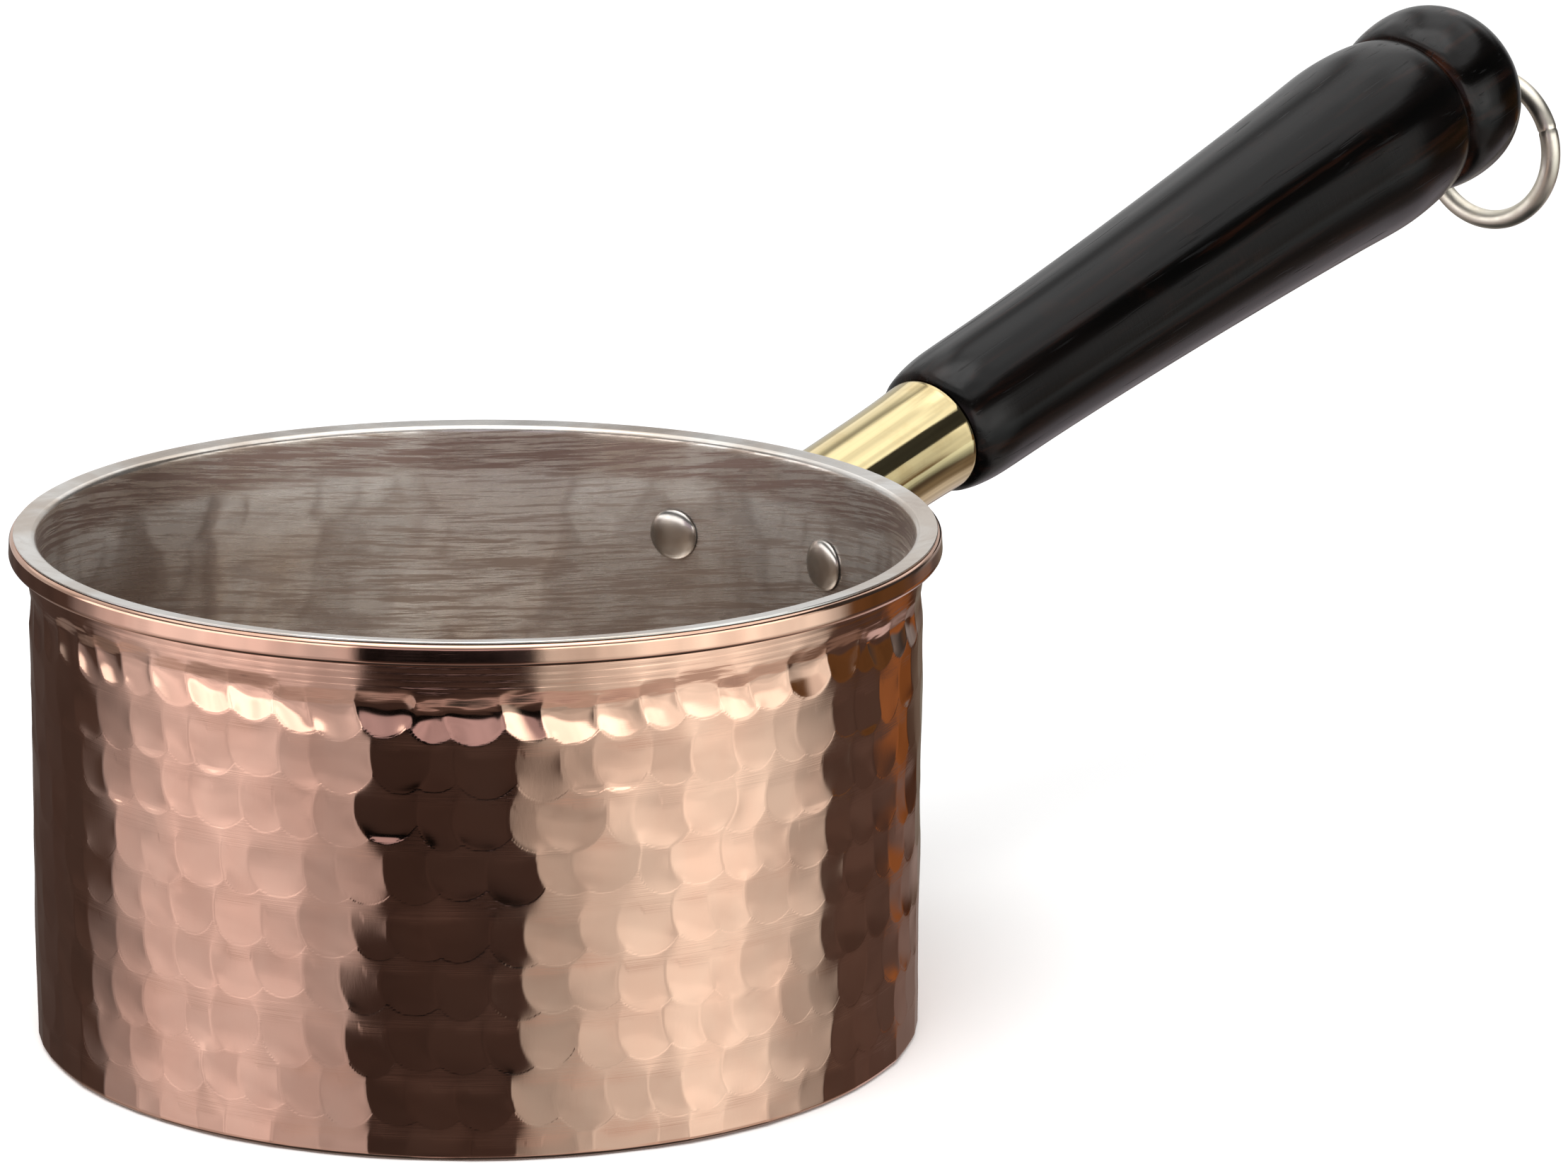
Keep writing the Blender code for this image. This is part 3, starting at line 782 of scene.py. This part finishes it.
def hanging_ring(material):
    """A drawn wire bent round until its cut ends meet, each end eased by a file."""
    low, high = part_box("hanging_ring")
    wire_r = (high.x - low.x) / 2
    ring_r = (high.z - low.z) / 2 - wire_r
    centre = (low + high) / 2
    half_gap = RING_GAP / ring_r / 2
    turns = np.linspace(RING_JOINT + half_gap, RING_JOINT + 2 * pi - half_gap, RING_STEPS)
    ease = 0.00012
    ends = {0: wire_r - ease, len(turns) - 1: wire_r - ease}
    rows = []
    sideways = np.array([1, 0, 0])
    sections = np.linspace(0, 2 * pi, RING_COLUMNS, endpoint=False)
    for i, turn in enumerate(turns):
        out = np.array([0, -sin(turn), cos(turn)])
        at = np.array(centre) + ring_r * out
        radius = ends.get(i, wire_r)
        row = [at + radius * (cos(a) * out + sin(a) * sideways) for a in sections]
        if i in ends:
            pole = np.array([at])
            rows += [pole, np.array(row)] if i == 0 else [np.array(row), pole]
        else:
            rows.append(np.array(row))
    return settle(skin("wire_hanging_ring", rows), "ring", material, "hanging_ring")


# --- Shader nodes ---
def put(tree, value, socket):
    """Links another node's output to a socket, or sets the socket to a plain value."""
    if isinstance(value, bpy.types.NodeSocket):
        tree.links.new(value, socket)
    else:
        socket.default_value = value


def dress(tree, made, inputs):
    for key, value in inputs.items():
        put(tree, value, made.inputs[key])


def node(tree, kind, inputs=None, **settings):
    """Adds a shader node. An input may be a value or another node's output."""
    made = tree.nodes.new(kind)
    for name, value in settings.items():
        setattr(made, name, value)
    dress(tree, made, inputs or {})
    return made


def ramp(tree, factor, stops):
    made = node(tree, "ShaderNodeValToRGB", {"Fac": factor})
    elements = made.color_ramp.elements
    while len(elements) < len(stops):
        elements.new(0.5)
    for element, (position, colour) in zip(elements, stops):
        element.position = position
        element.color = (*colour, 1.0)
    return made.outputs["Color"]


def grey(value):
    return (value, value, value)


def maths(tree, operation, a, b=0.0, c=0.0):
    return node(tree, "ShaderNodeMath", {0: a, 1: b, 2: c}, operation=operation).outputs[0]


def times(tree, a, b):
    return maths(tree, "MULTIPLY", a, b)


def stretched_noise(tree, coordinates, scale, detail=3.0, roughness=0.55, distortion=0.0):
    """Noise whose grain differs along X, Y and Z."""
    mapped = node(tree, "ShaderNodeVectorMath", {0: coordinates, 1: scale}, operation="MULTIPLY")
    inputs = {"Vector": mapped.outputs[0], "Scale": 1.0, "Detail": detail}
    inputs.update(Roughness=roughness, Distortion=distortion)
    return node(tree, "ShaderNodeTexNoise", inputs).outputs["Fac"]


def cylindrical(tree):
    """(place on the object, turn round its Z in radians, distance from its Z, height)."""
    place = node(tree, "ShaderNodeTexCoord").outputs["Object"]
    x, y, z = node(tree, "ShaderNodeSeparateXYZ", {0: place}).outputs
    turn = maths(tree, "ARCTAN2", y, x)
    radius = maths(tree, "SQRT", maths(tree, "ADD", times(tree, x, x), times(tree, y, y)))
    return place, turn, radius, z


def round_coordinates(tree, turn, z):
    """Coordinates that run round a turned piece without a seam: a unit circle, then the height."""
    cosine = maths(tree, "COSINE", turn)
    sine = maths(tree, "SINE", turn)
    return node(tree, "ShaderNodeCombineXYZ", {0: cosine, 1: sine, 2: z}).outputs[0]


def new_material(name):
    material = bpy.data.materials.new(name)
    material.use_nodes = True
    tree = material.node_tree
    return material, tree, tree.nodes["Principled BSDF"]


def bump(tree, height, distance, strength=1.0, normal=None):
    inputs = {"Height": height, "Distance": distance, "Strength": strength}
    if normal:
        inputs["Normal"] = normal
    return node(tree, "ShaderNodeBump", inputs).outputs["Normal"]


def mix(tree, factor, a, b):
    made = node(tree, "ShaderNodeMix", {0: factor}, data_type="RGBA")
    for i, value in ((6, a), (7, b)):
        put(tree, (*value, 1.0) if isinstance(value, tuple) else value, made.inputs[i])
    return made.outputs[2]


def between(tree, value, low, high, out_low=0.0, out_high=1.0):
    inputs = {"Value": value, "From Min": low, "From Max": high, "To Min": out_low, "To Max": out_high}
    return node(tree, "ShaderNodeMapRange", inputs, interpolation_type="SMOOTHSTEP").outputs["Result"]


# --- Materials ---
def copper_material(name, hammered, tinned_below=None):
    """Polished copper: clear in the marks, and drawn out in fine level lines where it is still plain."""
    material, tree, shader = new_material(name)
    place, turn, _, z = cylindrical(tree)
    around = round_coordinates(tree, turn, z)
    cloud = stretched_noise(tree, place, (90, 90, 60), 4)
    tarnish = stretched_noise(tree, place, (28, 28, 22), 5, 0.6)
    light = mix(tree, between(tree, cloud, 0.3, 0.7), (0.93, 0.565, 0.415), (0.95, 0.61, 0.455))
    colour = mix(tree, between(tree, tarnish, 0.52, 0.78, 0.0, 0.35), light, (0.80, 0.44, 0.31))
    lines = stretched_noise(tree, around, (6, 6, 5200), 3, 0.6)
    wide_lines = stretched_noise(tree, around, (3, 3, 1500), 2, 0.5)
    scratches = stretched_noise(tree, place, (1500, 1500, 420), 2, 0.5, 0.6)
    rough = between(tree, cloud, 0.25, 0.75, 0.045, 0.085)
    both = maths(tree, "ADD", lines, wide_lines)
    fine = bump(tree, scratches, 0.0000022, 0.5)
    if hammered:
        plain = node(tree, "ShaderNodeAttribute", attribute_name="plain").outputs["Fac"]
        rough = maths(tree, "ADD", rough, times(tree, plain, 0.035))
        level = times(tree, both, between(tree, plain, 0.05, 0.9, 0.05, 1.0))
    else:
        level = times(tree, both, 0.5)
    if tinned_below:
        tinned = between(tree, z, tinned_below - 0.0001, tinned_below + 0.0001, 1.0, 0.0)
        colour = mix(tree, tinned, colour, (0.74, 0.70, 0.65))
        rough = maths(tree, "ADD", rough, times(tree, tinned, 0.14))
    normal = bump(tree, level, 0.000011, 1.0, fine)
    dress(tree, shader, {"Base Color": colour, "Metallic": 1.0, "Roughness": rough, "Normal": normal})
    return material


def tin_colour(tree, place, drop, wall, streaks, dull):
    """Grey tin, browner in patches and streaks, stained under the rim, with a painted highlight in a band
    below that and painted shade in the hollows of the marks.
    """
    patches = stretched_noise(tree, place, (34, 34, 26), 4, 0.6, 0.4)
    colour = mix(tree, between(tree, patches, 0.38, 0.62), (0.96, 0.93, 0.885), (0.74, 0.64, 0.55))
    streaked = between(tree, streaks, 0.45, 0.58, 0.0, 0.9)
    streaked = times(tree, streaked, between(tree, wall, 0.0, 1.0, 0.15, 1.0))
    colour = mix(tree, streaked, colour, (0.42, 0.325, 0.265))
    dulled = times(tree, between(tree, dull, 0.50, 0.66, 0.0, 0.6), wall)
    colour = mix(tree, dulled, colour, (0.50, 0.42, 0.37))
    under_rim = between(tree, drop, 0.0012, 0.0024)
    under_rim = times(tree, under_rim, between(tree, drop, 0.0065, 0.0100, 1.0, 0.0))
    stained = times(tree, under_rim, between(tree, streaks, 0.42, 0.54, 0.2, 1.0))
    colour = mix(tree, times(tree, stained, 0.75), colour, (0.34, 0.235, 0.21))
    # Painted highlight: the wall is painted near white in a band 7 to 23 mm under the top, broken up by the
    # streaks.
    painted_highlight = between(tree, drop, 0.0070, 0.0095)
    painted_highlight = times(tree, painted_highlight, between(tree, drop, 0.0120, 0.0230, 1.0, 0.0))
    painted_highlight = times(tree, painted_highlight, between(tree, streaks, 0.42, 0.60, 1.0, 0.2))
    colour = mix(tree, times(tree, painted_highlight, 0.8), colour, (0.98, 0.96, 0.93))
    # Painted shade: darker where the wall lies deeper, in the hollows of the hammer marks, so that the marks
    # show.
    swell = node(tree, "ShaderNodeAttribute", attribute_name="swell").outputs["Fac"]
    painted_hollow_shade = between(tree, swell, 0.05, 0.75)
    painted_hollow_shade = times(tree, painted_hollow_shade, between(tree, patches, 0.35, 0.65, 0.25, 0.65))
    return mix(tree, painted_hollow_shade, colour, (0.33, 0.25, 0.21))


def tin_material(top):
    """Hot-wiped tin: drawn out in long thin streaks by the cloth on the wall, turned in rings on the rim."""
    material, tree, shader = new_material("wiped_tin")
    place, turn, radius, z = cylindrical(tree)
    wave = maths(tree, "SINE", times(tree, turn, 2.0))
    wiping = round_coordinates(tree, turn, maths(tree, "ADD", z, times(tree, wave, 0.006)))
    streaks = stretched_noise(tree, wiping, (4.5, 4.5, 1500), 7, 0.72)
    fine = stretched_noise(tree, round_coordinates(tree, turn, z), (7, 7, 6500), 3, 0.6)
    dull = stretched_noise(tree, wiping, (5, 5, 330), 4, 0.65)
    drop = maths(tree, "SUBTRACT", top, z)
    wall = between(tree, drop, 0.0004, 0.0014)
    outward = node(tree, "ShaderNodeCombineXYZ", {0: radius, 1: 0.0, 2: 0.0}).outputs[0]
    rings = stretched_noise(tree, outward, (3600, 1, 1), 2)
    rough = between(tree, streaks, 0.35, 0.65, 0.20, 0.36)
    first = bump(tree, streaks, 0.00002, 0.5)
    second = bump(tree, fine, 0.000012, 0.6, first)
    inputs = {
        "Base Color": tin_colour(tree, place, drop, wall, streaks, dull),
        "Metallic": TIN_METALLIC,
        "Roughness": times(tree, rough, between(tree, wall, 0.0, 1.0, 0.65, 1.0)),
        "Anisotropic": times(tree, wall, 0.85),
        "Anisotropic Rotation": 0.25,
        "Tangent": node(tree, "ShaderNodeTangent", direction_type="RADIAL", axis="Z").outputs[0],
        "Normal": bump(tree, rings, 0.00001, 0.5, second),
    }
    dress(tree, shader, inputs)
    return material


def brass_material(name, colour, deep, roughness):
    """Polished brass with a little tarnish, and the faint waviness that its last polishing left."""
    material, tree, shader = new_material(name)
    place, turn, _, z = cylindrical(tree)
    cloud = stretched_noise(tree, place, (160, 160, 160), 4, 0.6)
    waves = stretched_noise(tree, round_coordinates(tree, turn, z), (40, 40, 90), 3, 0.6)
    inputs = {
        "Base Color": mix(tree, between(tree, cloud, 0.45, 0.8, 0.0, 0.55), colour, deep),
        "Metallic": 1.0,
        "Roughness": between(tree, cloud, 0.3, 0.75, roughness * 0.75, roughness * 1.35),
        "Normal": bump(tree, waves, 0.000006, 0.6),
    }
    dress(tree, shader, inputs)
    return material


def steel_material():
    """Drawn steel, for the rim wire and the stud, which are inside other pieces."""
    material, tree, shader = new_material("drawn_steel")
    place = node(tree, "ShaderNodeTexCoord").outputs["Object"]
    grain = stretched_noise(tree, place, (900, 900, 200), 3, 0.6)
    inputs = {
        "Base Color": mix(tree, between(tree, grain, 0.3, 0.7), (0.55, 0.56, 0.57), (0.42, 0.42, 0.43)),
        "Metallic": 1.0,
        "Roughness": between(tree, grain, 0.3, 0.7, 0.24, 0.4),
        "Normal": bump(tree, grain, 0.00001, 0.4),
    }
    dress(tree, shader, inputs)
    return material


def wood_material(groove):
    """Ebonised wood: black over red-brown, with long pores, worn in the groove and on the knob."""
    material, tree, shader = new_material("ebonised_wood_grain")
    place, turn, _, z = cylindrical(tree)
    grain = stretched_noise(tree, place, (170, 170, 9), 5, 0.6, 0.4)
    pores = stretched_noise(tree, place, (1300, 1300, 28), 2, 0.45, 0.2)
    figure = stretched_noise(tree, place, (420, 420, 16), 4, 0.6, 0.3)
    sanding = stretched_noise(tree, round_coordinates(tree, turn, z), (5, 5, 2600), 2, 0.5)
    patches = stretched_noise(tree, place, (75, 75, 55), 4, 0.65)
    pore = between(tree, pores, 0.62, 0.74)
    from_groove = maths(tree, "ABSOLUTE", maths(tree, "SUBTRACT", z, groove))
    in_groove = between(tree, from_groove, 0.0003, 0.0016, 1.0, 0.0)
    in_groove = times(tree, in_groove, between(tree, patches, 0.4, 0.65, 0.08, 0.9))
    on_knob = between(tree, z, groove, groove + 0.004, 0.12, 1.0)
    on_knob = times(tree, between(tree, patches, 0.55, 0.75), on_knob)
    worn = maths(tree, "MAXIMUM", on_knob, in_groove)
    black = mix(tree, between(tree, grain, 0.35, 0.7), (0.0008, 0.0007, 0.0006), (0.0026, 0.0015, 0.0012))
    tone = mix(tree, between(tree, figure, 0.52, 0.72, 0.0, 0.8), black, (0.013, 0.0042, 0.0022))
    tone = mix(tree, worn, tone, (0.050, 0.0150, 0.0065))
    first = bump(tree, maths(tree, "SUBTRACT", 1.0, pore), 0.00003, 0.4)
    second = bump(tree, sanding, 0.000012, 0.5, first)
    rough = between(tree, grain, 0.3, 0.7, 0.15, 0.22)
    inputs = {
        "Base Color": mix(tree, times(tree, pore, 0.8), tone, (0.0012, 0.001, 0.001)),
        "Roughness": maths(tree, "ADD", rough, times(tree, pore, 0.25)),
        "Specular IOR Level": 0.26,
        "Normal": bump(tree, figure, 0.00008, 0.3, second),
    }
    dress(tree, shader, inputs)
    return material


# --- The studio ---
CAMERA_AZIMUTH = degrees(atan2(CAMERA_PLACE[1], CAMERA_PLACE[0]))
LEFT_PANEL = ((-114, 0.14), (-105, 0.34), (-88, 0.66), (-78, 0.75), (-64, 0.75), (-48, 0.58), (-31, 0.42))
RIGHT_PANEL = (
    (17, 0.40), (24, 0.46), (31, 0.64), (46, 0.82), (58, 0.92), (68, 0.94), (86, 0.74), (98, 0.42),
)
LEFT_TINT = (1.0, 0.94, 0.99)
RIGHT_TINT = (1.0, 1.055, 1.04)
SHADE = (0.056, 0.042, 0.038)
GAP = (0.043, 0.031, 0.028)
GILT = (0.10, 0.055, 0.022)


def horizon(share, gap, right_edge):
    """One layer of the room: two soft panels left and right, with something dark between and beside them."""
    stops = [(-180, (0.14, 0.12, 0.11)), (-150, SHADE), (-118, SHADE)]
    stops += [(turn, tuple(value * share * tint for tint in LEFT_TINT)) for turn, value in LEFT_PANEL]
    stops += [(-28, gap), (13, gap)]
    stops += [(turn, tuple(value * share * tint for tint in RIGHT_TINT)) for turn, value in RIGHT_PANEL]
    return tuple(stops) + right_edge


BACK_LEFT = (0.26, 0.24, 0.23)
BACK_RIGHT = (0.28, 0.26, 0.25)
SLOT = (0.08, 0.06, 0.055)
DUSK = (0.44, 0.37, 0.42)


def even_layer(value):
    """A layer of one grey all the way round."""
    return ((-180, grey(value)), (180, grey(value)))


SOFTBOXES = (
    (-180, grey(0.62)), (-150, grey(0.50)), (-114, grey(0.30)), (-108, (1.6, 1.56, 1.56)),
    (-31, (1.8, 1.74, 1.74)), (-28, DUSK), (13, DUSK), (16, (1.9, 1.88, 1.86)),
    (80, (1.6, 1.6, 1.56)), (86, (0.7, 0.7, 0.68)), (91, (0.6, 0.6, 0.58)),
)
BEHIND = ((155, grey(0.45)), (180, grey(0.62)))

PANELS = (
    # Highest elevation of this layer, softness, then (turn from the camera, brightness and tint) stops.
    (-62, 5, even_layer(0.03)),
    (-44, 3, ((-180, BACK_LEFT), (-110, grey(0.04)), (100, grey(0.04)), (180, BACK_RIGHT))),
    (-36, 4, (
        (-180, BACK_LEFT), (-110, (0.36, 0.31, 0.30)), (0, (0.38, 0.31, 0.31)),
        (100, (0.44, 0.40, 0.38)), (180, BACK_RIGHT),
    )),
    (-23, 3, (
        (-180, BACK_LEFT), (-118, (0.16, 0.14, 0.13)), (-106, (0.42, 0.37, 0.36)),
        (-30, (0.46, 0.41, 0.41)), (-27, SLOT), (11, SLOT), (18, (0.56, 0.50, 0.47)),
        (95, (0.50, 0.46, 0.43)), (101, (0.15, 0.115, 0.095)), (119, (0.17, 0.13, 0.11)),
        (130, (0.52, 0.46, 0.48)), (165, (0.50, 0.45, 0.47)), (180, BACK_RIGHT),
    )),
    (-16.7, 0.5, horizon(0.92, GAP, (
        (103, (0.075, 0.055, 0.048)), (134, (0.085, 0.062, 0.055)),
        (142, (0.17, 0.13, 0.12)), (180, (0.26, 0.22, 0.20)),
    ))),
    (-12.6, 1.0, horizon(1.02, GAP, (
        (103, (0.062, 0.046, 0.040)), (129, (0.060, 0.042, 0.036)), (131, (0.25, 0.11, 0.042)),
        (147, (0.20, 0.08, 0.024)), (150, (0.05, 0.02, 0.01)), (180, (0.24, 0.22, 0.18)),
    ))),
    (-6.5, 1.0, horizon(1.22, grey(0.003), (
        (103, GILT), (128, GILT), (134, grey(0.04)), (145, grey(0.20)), (180, grey(0.40)),
    ))),
    (1.0, 1.0, SOFTBOXES + ((94, GILT), (125, GILT), (134, grey(0.03))) + BEHIND),
    (20.5, 1.0, SOFTBOXES + ((93, grey(0.03)), (140, grey(0.03))) + BEHIND),
    (44, 1.5, (
        (-180, grey(0.25)), (-172, grey(1.0)), (-110, grey(0.35)), (-100, grey(0.15)),
        (-30, grey(0.12)), (20, grey(0.10)), (70, grey(0.03)), (130, grey(0.03)),
        (150, grey(0.75)), (174, grey(1.0)), (180, grey(0.25)),
    )),
    (66, 4, ((-180, grey(0.35)), (-172, grey(1.1)), (174, grey(1.1)), (180, grey(0.35)))),
    (90, 1, even_layer(2.6)),
)
PANEL_CLOUD = 0.17


def studio_world():
    """A plain white room to the eye, and panels of soft light to whatever reflects it."""
    world = bpy.data.worlds.new("studio")
    world.use_nodes = True
    bpy.context.scene.world = world
    tree = world.node_tree
    background = tree.nodes["Background"]
    direction = node(tree, "ShaderNodeTexCoord").outputs["Generated"]
    x, y, z = node(tree, "ShaderNodeSeparateXYZ", {0: direction}).outputs
    azimuth = maths(tree, "ARCTAN2", y, x)
    turned_by = maths(tree, "SUBTRACT", azimuth, radians(CAMERA_AZIMUTH))
    turns = maths(tree, "DIVIDE", maths(tree, "ADD", turned_by, 3 * pi), 2 * pi)
    factor = maths(tree, "FRACT", turns)
    elevation = times(tree, maths(tree, "ARCSINE", z), 180 / pi)
    panels = None
    for top, softness, stops in PANELS:
        layer = ramp(tree, factor, [((turn + 180) / 360, colour) for turn, colour in stops])
        if panels is None:
            panels = layer
        else:
            panels = mix(tree, above, panels, layer)
        above = between(tree, elevation, top - softness, top + softness)
    clouds = stretched_noise(tree, direction, (7, 7, 5), 3, 0.5)
    swing = between(tree, clouds, 0.3, 0.7, 1 - PANEL_CLOUD, 1 + PANEL_CLOUD)
    panels = node(tree, "ShaderNodeVectorMath", {0: panels, 1: swing}, operation="MULTIPLY").outputs[0]
    path = node(tree, "ShaderNodeLightPath")
    soft = mix(tree, between(tree, elevation, -30, 60), grey(0.75), grey(1.15))
    seen = mix(tree, path.outputs["Is Glossy Ray"], soft, panels)
    seen = mix(tree, path.outputs["Is Camera Ray"], seen, grey(1.0))
    tree.links.new(seen, background.inputs["Color"])


def studio_floor():
    """A pale floor. It isn't mirrored in the metal, whose panels of light come from the room."""
    bpy.ops.mesh.primitive_plane_add(size=30.0, location=(0, 0, -0.0002))
    floor = bpy.context.object
    floor.name = "studio_floor"
    material, tree, shader = new_material("pale_floor")
    colour = (0.93, 0.93, 0.93, 1.0)
    dress(tree, shader, {"Base Color": colour, "Roughness": 0.9, "Specular IOR Level": 0.0})
    floor.data.materials.append(material)
    floor.visible_glossy = False


def soft_light(name, place, size, power):
    """An area light that looks at the pot and isn't itself mirrored."""
    data = bpy.data.lights.new(name, "AREA")
    data.shape = "DISK"
    data.size = size
    data.energy = power
    light = bpy.data.objects.new(name, data)
    bpy.context.scene.collection.objects.link(light)
    light.location = place
    toward = LIGHT_TARGET - Vector(place)
    light.rotation_euler = toward.to_track_quat("-Z", "Y").to_euler()
    light.visible_glossy = False


def camera():
    data = bpy.data.cameras.new("studio_camera")
    data.lens = CAMERA_LENS
    data.sensor_width = 36.0
    data.clip_start = 0.01
    made = bpy.data.objects.new("studio_camera", data)
    bpy.context.scene.collection.objects.link(made)
    turn = Matrix.Rotation(CAMERA_HEADING, 4, "Z") @ Matrix.Rotation(CAMERA_TILT, 4, "X")
    turn = turn @ Matrix.Rotation(CAMERA_ROLL, 4, "Y") @ Matrix.Rotation(pi / 2, 4, "X")
    made.matrix_world = Matrix.Translation(CAMERA_PLACE) @ turn
    bpy.context.scene.camera = made


# --- Putting it together ---
def build():
    sizes = pot_sizes()
    marks = hammer_marks(sizes)
    copper = copper_material("hammered_copper", True)
    rivet_copper = copper_material("rivet_copper", False, sizes["wall_r"] - 0.0005)
    brass = brass_material("polished_brass", (0.90, 0.745, 0.41), (0.72, 0.53, 0.24), 0.06)
    pale = brass_material("pale_brass_wire", (0.88, 0.83, 0.72), (0.74, 0.65, 0.48), 0.42)
    steel = steel_material()
    copper_pot(sizes, marks, copper)
    tinned_inside(sizes, marks, tin_material(sizes["top"]))
    matrix = axis_matrix(*handle_frame())
    rivet_nodes = ("rivet_left", "rivet_right", "rivet_lower")
    places = []
    for name in rivet_nodes:
        low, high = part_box(name)
        spot = (low + high) / 2
        places.append((sizes["wall_r"] * sin(atan2(spot.y, spot.x)), spot.z))
    bracket(sizes, matrix, places, brass)
    for seed, name in enumerate(rivet_nodes):
        rivet(name, rivet_copper, seed)
    brass_ferrule(matrix, brass)
    wooden_grip(matrix, wood_material(groove_reach(matrix)))
    screw_eye(pale)
    hanging_ring(pale)
    for name in ("rim_wire", "handle_stud"):
        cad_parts[name].data.materials[0] = steel
    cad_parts["threaded_insert"].data.materials[0] = brass


build()
studio_world()
studio_floor()
soft_light("key_light", KEY_PLACE, KEY_SIZE, KEY_POWER)
camera()
bpy.context.scene.view_settings.view_transform = "Standard"
bpy.context.scene.view_settings.look = "None"
